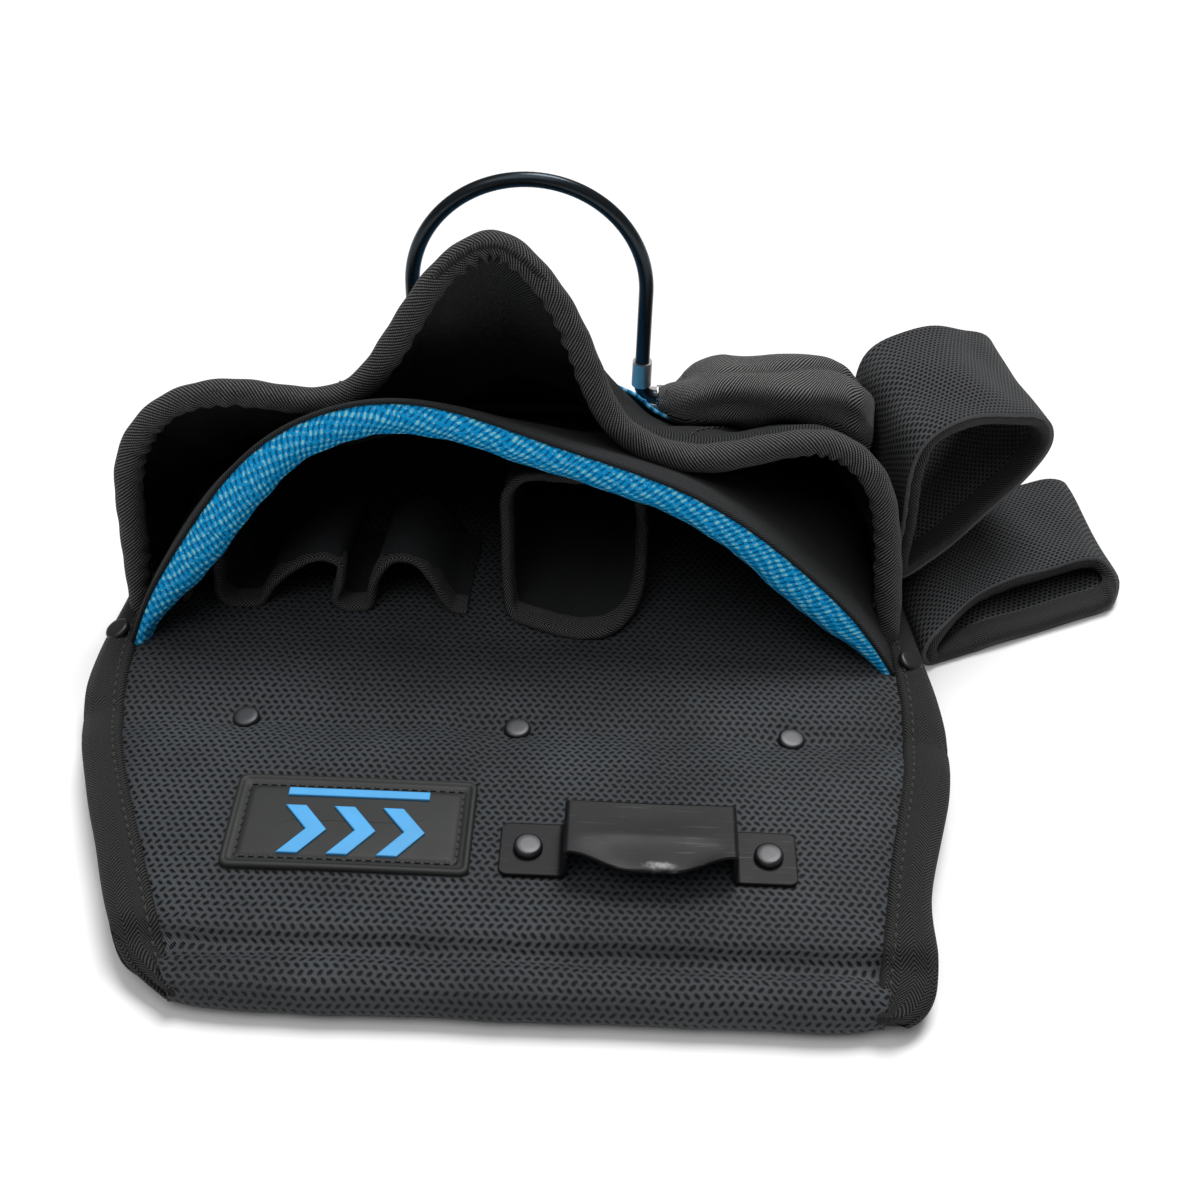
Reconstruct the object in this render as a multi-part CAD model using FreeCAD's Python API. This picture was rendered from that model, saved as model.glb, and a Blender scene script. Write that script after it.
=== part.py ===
import FreeCAD, Part

import math
import os

# Fastener and tool pouch that hangs from a 75 mm work belt, shown lying on its back.
# Millimetres. +X runs to the wearer's side of the stacked loops, +Y from the belt tunnel to the
# pouch's bottom, +Z out of the pouch's front. Z = 0 is the back of the rear lining, Y = 0 runs
# through the three rivets that close the belt tunnel, and X = 0 is midway across the pouch.

# ---- driving dimensions ----
BELT_END_Y = -102.0          # outside of the fold at the belt end
BOTTOM_Y = 158.0             # inside of the pouch's bottom panel
BOTTOM_T = 3.0
LINING_T = 3.0
BOARD_T = 8.0
FACE_T = 3.0
PANEL_Z = LINING_T + BOARD_T + FACE_T       # top of the back panel, where the pockets stand
TUNNEL_TOP = 17.0            # crown of the tunnel front
SLOT_Y = (-92.0, -12.0)      # the belt's way through the side tapes
SLOT_Z = (3.2, 11.0)

RIVET_R = 4.2
RIVET_H = 2.0
SHANK_R = 1.8
WASHER_R = 4.0
WASHER_T = 1.0
TUNNEL_RIVETS = (-82.0, 2.0, 87.0)
TUNNEL_RIVET_Z = 13.1        # underside of the tunnel rivets' heads, pulled into the crease
CORNER_RIVETS = ((-129.8, 35.0), (127.2, 35.0))

RIM_TILT = 0.24              # how far the main mouth leans back, mm of Y per mm of Z
RIM_Y = 30.5                 # main mouth where it meets the panel
MAIN_WALL_T = 3.0
FACING_T = 7.0
FACING_DEPTH = 30.0
FRONT_TILT = 0.20
FRONT_Y = 45.0
FRONT_WALL_T = 3.0
PIPING_T = 8.5               # thickness of the rolled edge on the front pockets
PIPING_DEPTH = 8.0
MID_Y = 100.0                # where the pockets have narrowed from their flared mouths

WIRE_R = 2.4
BAIL_X = -1.0
BAIL_Y = 110.0
BAIL_Z = 64.0                # height of the bail's pivot
BAIL_R = 38.0                # half the bail's width, and the radius of its top
BAIL_RISE = 40.0             # from the pivot to where the legs turn into the round top
BAIL_BEND_R = 5.0
BAIL_PIN = 12.0              # how far each end reaches out into its barrel
PIVOT_CLEARANCE = 0.06
STRAP_T = 1.6

MESH_T = 2.6
EDGE_TAPE_T = 0.9            # how far the edge tape stands off each side of the mesh
EDGE_TAPE_W = 9.0

V = FreeCAD.Vector
X_AXIS = V(1, 0, 0)
Z_AXIS = V(0, 0, 1)


# ---- helpers ----
def box(x0, x1, y0, y1, z0, z1):
    return Part.makeBox(x1 - x0, y1 - y0, z1 - z0, V(x0, y0, z0))


def cylinder(centre, axis, radius, length):
    return Part.makeCylinder(radius, length, centre, axis)


def spline(points):
    curve = Part.BSplineCurve()
    curve.interpolate(points)
    return curve.toShape()


def line(a, b):
    return Part.makeLine(a, b)


def group(shapes):
    return shapes[0] if len(shapes) == 1 else Part.makeCompound(shapes)


def save(shape, name):
    shape.exportStep("parts/" + name + ".step")


# ---- the panel's outline, seen from the front ----
# The pouch is widest at the rivet row; its left edge tapers more than its right.
EDGE_LEFT = [(-98, -97), (-112, -62), (-128, -19), (-135, 12), (-134, 45), (-128, 100), (-123, 158)]
EDGE_RIGHT = [(118, -98), (122, -70), (130, -34), (136, -2), (134, 32), (127, 90), (121, 158)]
SEAM_LEFT = [(-82, -104), (-104, -50), (-120, -4), (-124, 30), (-118, 95), (-113, 158)]
SEAM_RIGHT = [(104, -104), (113, -50), (122, -4), (123, 30), (117, 95), (111, 158)]


def outline_prism(left, right, z0, z1):
    left_points = [V(x, y, z0) for x, y in left]
    right_points = [V(x, y, z0) for x, y in right]
    edges = [spline(left_points),
             line(left_points[-1], right_points[-1]),
             spline(right_points),
             line(right_points[0], left_points[0])]
    face = Part.Face(Part.Wire(Part.__sortEdges__(edges)))
    return face.extrude(V(0, 0, z1 - z0))


def yz_prism(edges, x0, x1):
    face = Part.Face(Part.Wire(Part.__sortEdges__(edges)))
    return face.extrude(V(x1 - x0, 0, 0))


# ---- back panel ----
def face_sheet():
    """Outer cloth: flat under the pockets, dipping at the rivets, crowned over the tunnel, and
    rolled down over the belt end."""
    x0 = -150.0
    crown = [(16, PANEL_Z), (0, 12.4), (-16, 14.8), (-45, TUNNEL_TOP), (-84, 16.0)]
    outer = [V(x0, y, z) for y, z in crown]
    inner = [V(x0, y, z - FACE_T) for y, z in crown]
    back = BOTTOM_Y
    end = BELT_END_Y
    fold_out = Part.Arc(V(x0, -84, 16.0), V(x0, end + 4.0, 12.0), V(x0, end, 6.0)).toShape()
    fold_in = Part.Arc(V(x0, -84, 13.0), V(x0, end + 6.4, 10.0), V(x0, end + FACE_T, 6.0)).toShape()
    foot_out = Part.Arc(V(x0, end, 6.0), V(x0, end + 1.6, 1.6), V(x0, end + 5.0, 0)).toShape()
    foot_in = Part.Arc(V(x0, end + FACE_T, 6.0), V(x0, end + 4.0, 4.0), V(x0, end + 6.0, LINING_T)).toShape()
    edges = [line(V(x0, back, PANEL_Z), outer[0]),
             spline(outer),
             fold_out,
             foot_out,
             line(V(x0, end + 5.0, 0), V(x0, end + 6.0, 0)),
             line(V(x0, end + 6.0, 0), V(x0, end + 6.0, LINING_T)),
             foot_in,
             fold_in,
             spline(inner),
             line(inner[0], V(x0, back, PANEL_Z - FACE_T)),
             line(V(x0, back, PANEL_Z - FACE_T), V(x0, back, PANEL_Z))]
    return yz_prism(edges, x0, 150.0)


def panel_region():
    return outline_prism(SEAM_LEFT, SEAM_RIGHT, -2.0, 40.0)


def rivet_shanks():
    shanks = [cylinder(V(x, 0, 0), Z_AXIS, SHANK_R, 20.0) for x in TUNNEL_RIVETS]
    shanks += [cylinder(V(x, y, 0), Z_AXIS, SHANK_R, 20.0) for x, y in CORNER_RIVETS]
    return shanks


def washer_seats():
    seats = [cylinder(V(x, 0, 0), Z_AXIS, WASHER_R, WASHER_T) for x in TUNNEL_RIVETS]
    seats += [cylinder(V(x, y, 0), Z_AXIS, WASHER_R, WASHER_T) for x, y in CORNER_RIVETS]
    return seats


def drilled(shape):
    for tool in rivet_shanks() + washer_seats():
        shape = shape.cut(tool)
    return shape


def back_face():
    return drilled(face_sheet().common(panel_region()))


def rear_lining():
    sheet = box(-150, 150, BELT_END_Y + 6.0, BOTTOM_Y, 0, LINING_T)
    return drilled(sheet.common(panel_region()))


def stiffener_board():
    board = box(-150, 150, 3.0, BOTTOM_Y, LINING_T, LINING_T + BOARD_T)
    return drilled(board.common(panel_region()).cut(face_sheet()))


def seam_filler():
    """Folded cloth that brings the two layers together under the rivet row."""
    strip = box(-118, 120, -6.0, 3.0, LINING_T, 9.3)
    return drilled(strip.cut(face_sheet()))


def side_binding(left):
    whole = outline_prism(EDGE_LEFT, EDGE_RIGHT, 0, PANEL_Z)
    strip = whole.cut(panel_region())
    side = box(-200, 0, -150, 220, -5, 60) if left else box(0, 200, -150, 220, -5, 60)
    strip = strip.common(side)
    strip = strip.cut(box(-200, 200, SLOT_Y[0], SLOT_Y[1], SLOT_Z[0], SLOT_Z[1]))
    return drilled(strip)


# ---- rivets ----
def rivet_cap(x, y, z, radius, height):
    """Flat-topped rivet head standing on z, with its upper edge rounded over."""
    head = cylinder(V(x, y, z), Z_AXIS, radius, height)
    upper = [e for e in head.Edges if e.Length > 6 * radius - 1 and e.BoundBox.ZMin > z + height / 2]
    return head.makeFillet(height * 0.42, upper)


def rivet(x, y, z_top, z_low):
    shank = cylinder(V(x, y, z_low), Z_AXIS, SHANK_R, z_top - z_low)
    return rivet_cap(x, y, z_top, RIVET_R, RIVET_H).fuse(shank).removeSplitter()


def rivet_row():
    return group([rivet(x, 0, TUNNEL_RIVET_Z, WASHER_T) for x in TUNNEL_RIVETS])


def corner_rivets():
    return group([rivet(x, y, PANEL_Z, WASHER_T) for x, y in CORNER_RIVETS])


def washers(places):
    rings = []
    for x, y in places:
        rings.append(cylinder(V(x, y, 0), Z_AXIS, WASHER_R, WASHER_T))
    return group(rings)


# ---- badge ----
BADGE = (-77.5, -7.5, -65.0, -29.5)
BADGE_T = 1.6
BADGE_RIM = 1.2


def badge_base_z():
    return TUNNEL_TOP - 0.2


def badge():
    x0, x1, y0, y1 = BADGE
    z = badge_base_z()
    plate = box(x0, x1, y0, y1, z, z + BADGE_T + 1.0)
    plate = plate.makeFillet(2.0, [e for e in plate.Edges if abs(e.tangentAt(0).z) > 0.9])
    tray = box(x0 + BADGE_RIM, x1 - BADGE_RIM, y0 + BADGE_RIM, y1 - BADGE_RIM,
               z + BADGE_T, z + BADGE_T + 2.0)
    return plate.cut(tray).cut(face_sheet())


def badge_motif():
    """Three raised chevrons over a short bar: a plain pattern that stands for no maker."""
    z = badge_base_z() + BADGE_T
    shapes = []
    for i in range(3):
        x = -62.0 + 14.0 * i
        outline = [V(x, -42, z), V(x + 7, -51, z), V(x, -60, z), V(x + 6, -60, z),
                   V(x + 13, -51, z), V(x + 6, -42, z), V(x, -42, z)]
        shapes.append(Part.Face(Part.makePolygon(outline)).extrude(V(0, 0, 0.8)))
    shapes.append(box(-62, -21, -38, -35, z, z + 0.8))
    return group(shapes)


# ---- tape clip ----
CLIP_Y = -54.5
CLIP_T = 1.3
CLIP_HALF_W = 9.5
CLIP_FEET = (8.5, 76.5)      # rivet centres
CLIP_BRIDGE = (18.5, 67.0)   # outer faces of the bridge's two sides
CLIP_RISE = 10.5             # clear height of the bridge over the feet
CLIP_LIP = 3.2               # how far the middle of the near lip is bent out


def clip_bed():
    return TUNNEL_TOP + 0.1


def lip_section(x, reach, top):
    """Cross-section of the bent lip: it runs out and down from the bridge's near edge."""
    y = CLIP_Y - CLIP_HALF_W
    drop = 0.55 * reach
    return Part.makePolygon([V(x, y + 0.5, top), V(x, y - reach, top - drop),
                             V(x, y - reach, top - drop + CLIP_T), V(x, y + 0.5, top + CLIP_T),
                             V(x, y + 0.5, top)])


def tape_clip():
    """Steel strap: two riveted feet, an upright-sided bridge, and a near lip dished outward."""
    z = clip_bed()
    y0 = CLIP_Y - CLIP_HALF_W
    y1 = CLIP_Y + CLIP_HALF_W
    b0, b1 = CLIP_BRIDGE
    top = z + CLIP_RISE
    foot_left = box(CLIP_FEET[0] - 8.0, b0 + CLIP_T, y0, y1, z, z + CLIP_T)
    foot_right = box(b1 - CLIP_T, CLIP_FEET[1] + 8.0, y0, y1, z, z + CLIP_T)
    upright = [e for e in foot_left.Edges if abs(e.tangentAt(0).z) > 0.9 and e.BoundBox.XMax < b0 - 2]
    foot_left = foot_left.makeFillet(2.2, upright)
    upright = [e for e in foot_right.Edges if abs(e.tangentAt(0).z) > 0.9 and e.BoundBox.XMin > b1 + 2]
    foot_right = foot_right.makeFillet(2.2, upright)
    outer = box(b0, b1, y0, y1, z, top + CLIP_T)
    ridge = [e for e in outer.Edges if abs(e.tangentAt(0).y) > 0.9 and e.BoundBox.ZMin > z + 1]
    bridge = outer.makeFillet(1.2, ridge).cut(box(b0 + CLIP_T, b1 - CLIP_T, y0, y1, z - 1, top))
    stations = [(b0 + 6, 0.2), (b0 + 15, CLIP_LIP), (b1 - 15, CLIP_LIP), (b1 - 6, 0.2)]
    lip = Part.makeLoft([lip_section(x, reach, top) for x, reach in stations], True, False)
    body = foot_left.fuse(foot_right).fuse(bridge).fuse(lip).removeSplitter()
    for x in CLIP_FEET:
        body = body.cut(cylinder(V(x, CLIP_Y, z - 1), Z_AXIS, SHANK_R, 5))
    return body.cut(face_sheet())


def clip_rivets():
    z = clip_bed() + CLIP_T
    rivets = []
    for x in CLIP_FEET:
        shank = cylinder(V(x, CLIP_Y, z - CLIP_T), Z_AXIS, SHANK_R, CLIP_T)
        rivets.append(rivet_cap(x, CLIP_Y, z, RIVET_R, 2.4).fuse(shank).removeSplitter().cut(face_sheet()))
    return group(rivets)


# ---- pocket shells ----
# Each arch is a list of (x, z) across the pouch. The mouth arches follow the two wavy rims, and
# the arches further in are flat half ovals.
MAIN_RIM = [(-125, 14), (-120, 27), (-106, 51), (-78, 84), (-36, 98), (6, 88), (58, 70),
            (93, 46), (110, 30), (122, 14)]
FRONT_RIM = [(-129, 14), (-130, 42), (-127, 70), (-110, 88), (-82, 92), (-57, 94), (-42, 110),
             (-28, 131), (-9, 141), (9, 129), (22, 107), (34, 86), (52, 79), (76, 82), (98, 83),
             (114, 72), (122, 50), (125, 14)]


def oval_arch(half_width, height, count):
    """Half oval standing on the panel, with as many points as the rim it is lofted from."""
    points = []
    for i in range(count):
        angle = math.pi * (1.0 - i / (count - 1.0))
        points.append((half_width * math.cos(angle), PANEL_Z + height * math.sin(angle)))
    return points


def inset(points, depth):
    """The same arch moved in by depth along its own normals; the feet stay on the panel."""
    moved = []
    last = len(points) - 1
    for i, (x, z) in enumerate(points):
        ax, az = points[max(i - 1, 0)]
        bx, bz = points[min(i + 1, last)]
        length = math.hypot(bx - ax, bz - az)
        nx = (bz - az) / length
        nz = -(bx - ax) / length
        if i == 0 or i == last:
            side = 1.0 if i == 0 else -1.0
            moved.append((x + side * depth, z))
        else:
            moved.append((x + nx * depth, z + nz * depth))
    return moved


def arch_wire(points, y, sink):
    """Closed section: the arch, and a straight foot line sunk below the panel's top."""
    arch = [V(x, y, z) for x, z in points]
    low_left = V(points[0][0], y, PANEL_Z - sink)
    low_right = V(points[-1][0], y, PANEL_Z - sink)
    edges = [spline(arch)]
    if sink:
        edges.append(line(arch[-1], low_right))
        edges.append(line(low_right, low_left))
        edges.append(line(low_left, arch[0]))
    else:
        edges.append(line(arch[-1], arch[0]))
    return Part.Wire(edges)


def arch_solid(stations, sink):
    wires = [arch_wire(points, y, sink) for y, points in stations]
    return Part.makeLoft(wires, True, True)


def main_stations(depth):
    """Sections of the main pocket, its skin moved in by depth."""
    count = len(MAIN_RIM)
    rim = inset(MAIN_RIM, depth)
    return [(RIM_Y - 14.0, rim),
            (52.0, rim),
            (MID_Y, oval_arch(120.0 - depth, 42.0 - depth, count)),
            (BOTTOM_Y, oval_arch(113.0 - depth, 10.0 - depth, count))]


def front_stations(depth):
    count = len(FRONT_RIM)
    rim = inset(FRONT_RIM, depth)
    return [(FRONT_Y - 10.0, rim),
            (72.0, rim),
            (MID_Y, inset(front_mid(), depth)),
            (BOTTOM_Y, oval_arch(118.0 - depth, 18.0 - depth, count))]


def front_mid():
    """Where the three lobes have shrunk to low swells over the main pocket."""
    count = len(FRONT_RIM)
    base = oval_arch(125.0, 48.0, count)
    swell = [0, 0, 2, 5, 6, 5, 2, 4, 16, 16, 4, 4, 12, 18, 16, 6, 0, 0]
    return [(x, z + s) for (x, z), s in zip(base, swell)]


def lean_slab(y0, tilt, depth):
    """Slice of space behind a mouth plane that leans back; depth None runs on past the bottom."""
    z_low = -10.0
    z_high = 200.0
    y_low = y0 + tilt * (z_low - PANEL_Z)
    y_high = y0 + tilt * (z_high - PANEL_Z)
    if depth is None:
        far_low = BOTTOM_Y
        far_high = BOTTOM_Y
    else:
        far_low = y_low + depth
        far_high = y_high + depth
    corners = [V(-200, y_low, z_low), V(-200, y_high, z_high), V(-200, far_high, z_high),
               V(-200, far_low, z_low), V(-200, y_low, z_low)]
    return Part.Face(Part.makePolygon(corners)).extrude(V(400, 0, 0))


def main_block():
    return arch_solid(main_stations(0.0), 0.0)


def main_pocket_wall():
    shell = main_block().cut(arch_solid(main_stations(MAIN_WALL_T), 2.0))
    return shell.common(lean_slab(RIM_Y, RIM_TILT, None))


def blue_facing():
    outer = arch_solid(main_stations(MAIN_WALL_T)[:3], 0.0)
    inner = arch_solid(main_stations(MAIN_WALL_T + FACING_T)[:3], 2.0)
    return outer.cut(inner).common(lean_slab(RIM_Y - 1.0, RIM_TILT, FACING_DEPTH))


def front_pocket_wall():
    outer = arch_solid(front_stations(2.5), 0.0)
    inner = arch_solid(front_stations(2.5 + FRONT_WALL_T), 2.0)
    shell = outer.cut(inner).common(lean_slab(FRONT_Y + 3.0, FRONT_TILT, None))
    return shell.cut(main_block())


def front_piping(wall):
    outer = arch_solid(front_stations(0.0)[:3], 0.0)
    inner = arch_solid(front_stations(PIPING_T)[:3], 2.0)
    roll = outer.cut(inner).common(lean_slab(FRONT_Y, FRONT_TILT, PIPING_DEPTH))
    return roll.cut(main_block()).cut(wall)


def bottom_panel():
    arch = arch_wire(oval_arch(119.0, 19.0, len(FRONT_RIM)), BOTTOM_Y, PANEL_Z)
    return Part.Face(arch).extrude(V(0, BOTTOM_T, 0))


# ---- sleeves inside the main pocket ----
PEN_SLEEVES = ((-109.0, -98.0, 15.0), (-87.0, -60.0, 24.0), (-50.0, -22.0, 25.0))
PEN_FLATS = ((-98.5, -86.5), (-60.5, -49.5))
PEN_Y = (52.0, 92.0)
PEN_T = 2.0
TOOL_SLEEVE_T = 2.4
TOOL_Y = (43.0, 120.0)
TOOL_TILT = 0.6


def half_oval_face(x0, x1, height, y):
    """Half oval standing on the panel between x0 and x1, in the plane of that y."""
    mid = (x0 + x1) / 2.0
    points = []
    for i in range(9):
        angle = math.pi * i / 8.0
        points.append(V(mid - (x1 - x0) / 2.0 * math.cos(angle), y, PANEL_Z + height * math.sin(angle)))
    return Part.Face(Part.Wire([spline(points), line(points[-1], points[0])]))


def pen_strip(grow, y0, y1):
    """The pleated strip: three sleeves joined by stretches sewn flat to the panel."""
    strip = None
    for x0, x1, height in PEN_SLEEVES:
        outer = half_oval_face(x0 - grow, x1 + grow, height + grow, y0)
        inner = half_oval_face(x0 + PEN_T + grow, x1 - PEN_T - grow, height - PEN_T - grow, y0)
        sleeve = outer.cut(inner).extrude(V(0, y1 - y0, 0))
        strip = sleeve if strip is None else strip.fuse(sleeve)
    for x0, x1 in PEN_FLATS:
        strip = strip.fuse(box(x0, x1, y0, y1, PANEL_Z, PANEL_Z + PEN_T + grow))
    return strip.removeSplitter()


def pen_sleeves():
    return pen_strip(0.0, PEN_Y[0], PEN_Y[1])


def pen_sleeve_binding():
    return pen_strip(0.8, PEN_Y[0] - 3.0, PEN_Y[0] + 5.0).cut(pen_sleeves())


def rounded_wire(x0, x1, z0, z1, radius, y):
    edges = []
    corners = [(x0, z0, 1, 1), (x1, z0, -1, 1), (x1, z1, -1, -1), (x0, z1, 1, -1)]
    ends = []
    for x, z, sx, sz in corners:
        side = V(x, y, z + sz * radius)
        flat = V(x + sx * radius, y, z)
        bulge = (1.0 - math.sqrt(0.5)) * radius
        middle = V(x + sx * bulge, y, z + sz * bulge)
        first, second = (side, flat) if sx == sz else (flat, side)
        edges.append(Part.Arc(first, middle, second).toShape())
        ends.append((first, second))
    for i in range(4):
        edges.append(line(ends[i][1], ends[(i + 1) % 4][0]))
    return Part.Wire(Part.__sortEdges__(edges))


def tool_tube(inward):
    """Squarish sleeve, tall at its mouth and flatter where it is sewn to the panel."""
    near = rounded_wire(-7 + inward, 39 - inward, PANEL_Z + inward, 59 - inward, 9 - inward, 34)
    far = rounded_wire(-7 + inward, 39 - inward, PANEL_Z + inward, 36 - inward, 9 - inward, TOOL_Y[1])
    return Part.makeLoft([near, far], True, True)


def tool_sleeve():
    wall = tool_tube(0.0).cut(tool_tube(TOOL_SLEEVE_T))
    return wall.common(lean_slab(TOOL_Y[0], TOOL_TILT, None))


def tool_sleeve_binding():
    band = tool_tube(-0.9).cut(tool_tube(TOOL_SLEEVE_T + 0.9))
    band = band.common(lean_slab(TOOL_Y[0] - 3.0, TOOL_TILT, 9.0))
    above = box(-50, 80, 0, 120, PANEL_Z, 100)
    return band.common(above).cut(tool_sleeve())


# ---- hammer bail and its hinges ----
def bail_path():
    """From one pin, up a leg, over the round top, and down to the other pin."""
    y = BAIL_Y
    left = BAIL_X - BAIL_R
    right = BAIL_X + BAIL_R
    bend = BAIL_BEND_R
    chord = bend * (1.0 - math.sqrt(0.5))
    top = BAIL_Z + BAIL_RISE
    corner = Part.Arc(V(right + bend, y, BAIL_Z), V(right + chord, y, BAIL_Z + chord),
                      V(right, y, BAIL_Z + bend)).toShape()
    arch = Part.Arc(V(right, y, top), V(BAIL_X, y, top + BAIL_R), V(left, y, top)).toShape()
    other = Part.Arc(V(left, y, BAIL_Z + bend), V(left - chord, y, BAIL_Z + chord),
                     V(left - bend, y, BAIL_Z)).toShape()
    return Part.Wire([line(V(right + BAIL_PIN, y, BAIL_Z), V(right + bend, y, BAIL_Z)),
                      corner,
                      line(V(right, y, BAIL_Z + bend), V(right, y, top)),
                      arch,
                      line(V(left, y, top), V(left, y, BAIL_Z + bend)),
                      other,
                      line(V(left - bend, y, BAIL_Z), V(left - BAIL_PIN, y, BAIL_Z))])


def hammer_bail():
    start = V(BAIL_X + BAIL_R + BAIL_PIN, BAIL_Y, BAIL_Z)
    ring = Part.Wire(Part.makeCircle(WIRE_R, start, X_AXIS))
    return bail_path().makePipeShell([ring], True, False)


def bail_collars():
    """Short sleeves pressed onto the legs just above their bends."""
    collars = []
    for x in (BAIL_X - BAIL_R, BAIL_X + BAIL_R):
        base = V(x, BAIL_Y, BAIL_Z + BAIL_BEND_R)
        collar = cylinder(base, Z_AXIS, WIRE_R + 0.9, 9.0)
        collars.append(collar.cut(cylinder(base, Z_AXIS, WIRE_R, 9.0)))
    return group(collars)


BRACKET_RIVET_DY = 8.5
BARREL_R = 4.2


def strap_outside():
    return arch_solid(front_stations(2.5 - STRAP_T), 0.0)


def bail_strap():
    """Blue webbing sewn across the front pockets, under the bail's hinges."""
    window = box(-58, 63, 80, BAIL_Y + 13, 20, 140)
    under = arch_solid(front_stations(2.5), 0.0)
    return strap_outside().cut(under).common(window)


def bail_bracket(sign):
    """Folded steel: a plate on the strap, and the barrel that the bail's pin turns in."""
    inner = BAIL_X + sign * (BAIL_R + BAIL_BEND_R + 0.4)
    outer = BAIL_X + sign * (BAIL_R + BAIL_PIN + 1.0)
    x0 = min(inner, outer)
    x1 = max(inner, outer)
    barrel = cylinder(V(x0, BAIL_Y, BAIL_Z), X_AXIS, BARREL_R, x1 - x0)
    web = box(x0, x1, BAIL_Y - BARREL_R, BAIL_Y + BARREL_R, BAIL_Z - BARREL_R - 1.0, BAIL_Z)
    plate = box(x0 - 2, x1 + 2, BAIL_Y - 12.5, BAIL_Y + 12.5, BAIL_Z - 13, BAIL_Z - BARREL_R + 0.4)
    body = barrel.fuse(web).fuse(plate).removeSplitter()
    bore = cylinder(V(x0 - 5, BAIL_Y, BAIL_Z), X_AXIS, WIRE_R + PIVOT_CLEARANCE, x1 - x0 + 10)
    return body.cut(bore).cut(strap_outside())


def bail_bracket_rivets():
    z = BAIL_Z - BARREL_R + 0.4
    heads = []
    for sign in (-1, 1):
        x = BAIL_X + sign * (BAIL_R + (BAIL_BEND_R + BAIL_PIN) / 2.0 + 0.7)
        for side in (-1, 1):
            head = rivet_cap(x, BAIL_Y + side * BRACKET_RIVET_DY, z, 3.0, 1.4)
            heads.append(head.cut(strap_outside()))
    return group(heads)


# ---- side pocket ----
def flat_tube(inward, x0, x1):
    """A flattened loop running along X on the slope of the right lobe."""
    near = [(86, 78), (92, 84), (104, 84), (113, 79), (112, 72), (102, 69), (90, 70)]
    mid_y = 99.0
    mid_z = 76.5
    points = []
    for y, z in near:
        reach = math.hypot(y - mid_y, z - mid_z)
        scale = (reach - inward) / reach
        points.append(V(x0, mid_y + (y - mid_y) * scale, mid_z + (z - mid_z) * scale))
    curve = Part.BSplineCurve()
    curve.interpolate(points, True)
    return Part.Face(Part.Wire(curve.toShape())).extrude(V(x1 - x0, 0, 0))


def side_pocket():
    tube = flat_tube(0.0, 52, 112).cut(flat_tube(2.0, 56, 120))
    return tube.cut(strap_outside())


def side_pocket_base():
    """Sewn cloth between the small side pocket and the lobe that it stands on."""
    block = box(54, 110, 90, 110, 40, 76)
    return block.cut(flat_tube(0.0, 40, 125)).cut(strap_outside())


# ---- mesh loops on the side ----
# Corners of each loop's leaf-shaped mouth, as (distance along the mouth, Z), with the radius
# that rounds them. The mouths are turned towards the belt end.
UPPER_LOOP = [(0, 23, 3), (58, 41, 30), (74, 54, 6), (62, 70, 14), (36, 82, 22), (0, 80, 16)]
UPPER_AT = FreeCAD.Vector(126.8, 66.0, 0)
UPPER_TURN = 41.0
UPPER_RUN = FreeCAD.Vector(-13.0, 50.0, 2.0)
LOWER_LOOP = [(0, 0.9, 3), (60, 0.9, 40), (79, 8.5, 4), (62, 16.5, 40), (0, 15.5, 3)]
LOWER_AT = FreeCAD.Vector(137.2, 50.0, 0)
LOWER_TURN = 26.0
LOWER_RUN = FreeCAD.Vector(-9.0, 62.0, 0)


def rounded_loop(corners, place, turn):
    """Closed wire of straight runs and tangent arcs through the given corners."""
    turn = math.radians(turn)
    spots = [place + V(s * math.cos(turn), s * math.sin(turn), z) for s, z, r in corners]
    count = len(spots)
    arcs = []
    for i, (s, z, radius) in enumerate(corners):
        here = spots[i]
        back = (spots[i - 1] - here).normalize()
        ahead = (spots[(i + 1) % count] - here).normalize()
        half = back.getAngle(ahead) / 2.0
        reach = radius / math.tan(half)
        centre = here + (back + ahead).normalize() * (radius / math.sin(half))
        middle = centre + (here - centre).normalize() * radius
        arcs.append((here + back * reach, middle, here + ahead * reach))
    edges = []
    for i, (first, middle, last) in enumerate(arcs):
        edges.append(Part.Arc(first, middle, last).toShape())
        edges.append(line(last, arcs[(i + 1) % count][0]))
    return Part.Wire(edges)


def loop_face(outline, place, turn, inward):
    wire = rounded_loop(outline, place, turn)
    if inward:
        wire = wire.makeOffset2D(-inward)
    return Part.Face(wire)


def mesh_loop(outline, place, turn, run):
    ring = loop_face(outline, place, turn, 0.0).extrude(run)
    hole = loop_face(outline, place, turn, MESH_T).extrude(run)
    return ring.cut(hole)


def loop_tapes(outline, place, turn, run, loop):
    """Twill tape folded over the two open edges of a mesh loop."""
    step = V(run).normalize() * EDGE_TAPE_W
    tapes = []
    for start in (place, place + run - step):
        outer = loop_face(outline, start, turn, -EDGE_TAPE_T).extrude(step)
        inner = loop_face(outline, start, turn, MESH_T + EDGE_TAPE_T).extrude(step)
        tapes.append(outer.cut(inner).cut(loop))
    return tapes


def clear_of_pouch(shape):
    """Trims a loop back from the pocket wall and the panel's side tape."""
    keep_out = arch_solid(front_stations(-0.4), 0.0)
    edge = outline_prism(EDGE_LEFT, EDGE_RIGHT, -1.0, PANEL_Z + 0.4)
    return shape.cut(keep_out).cut(edge)


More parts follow.
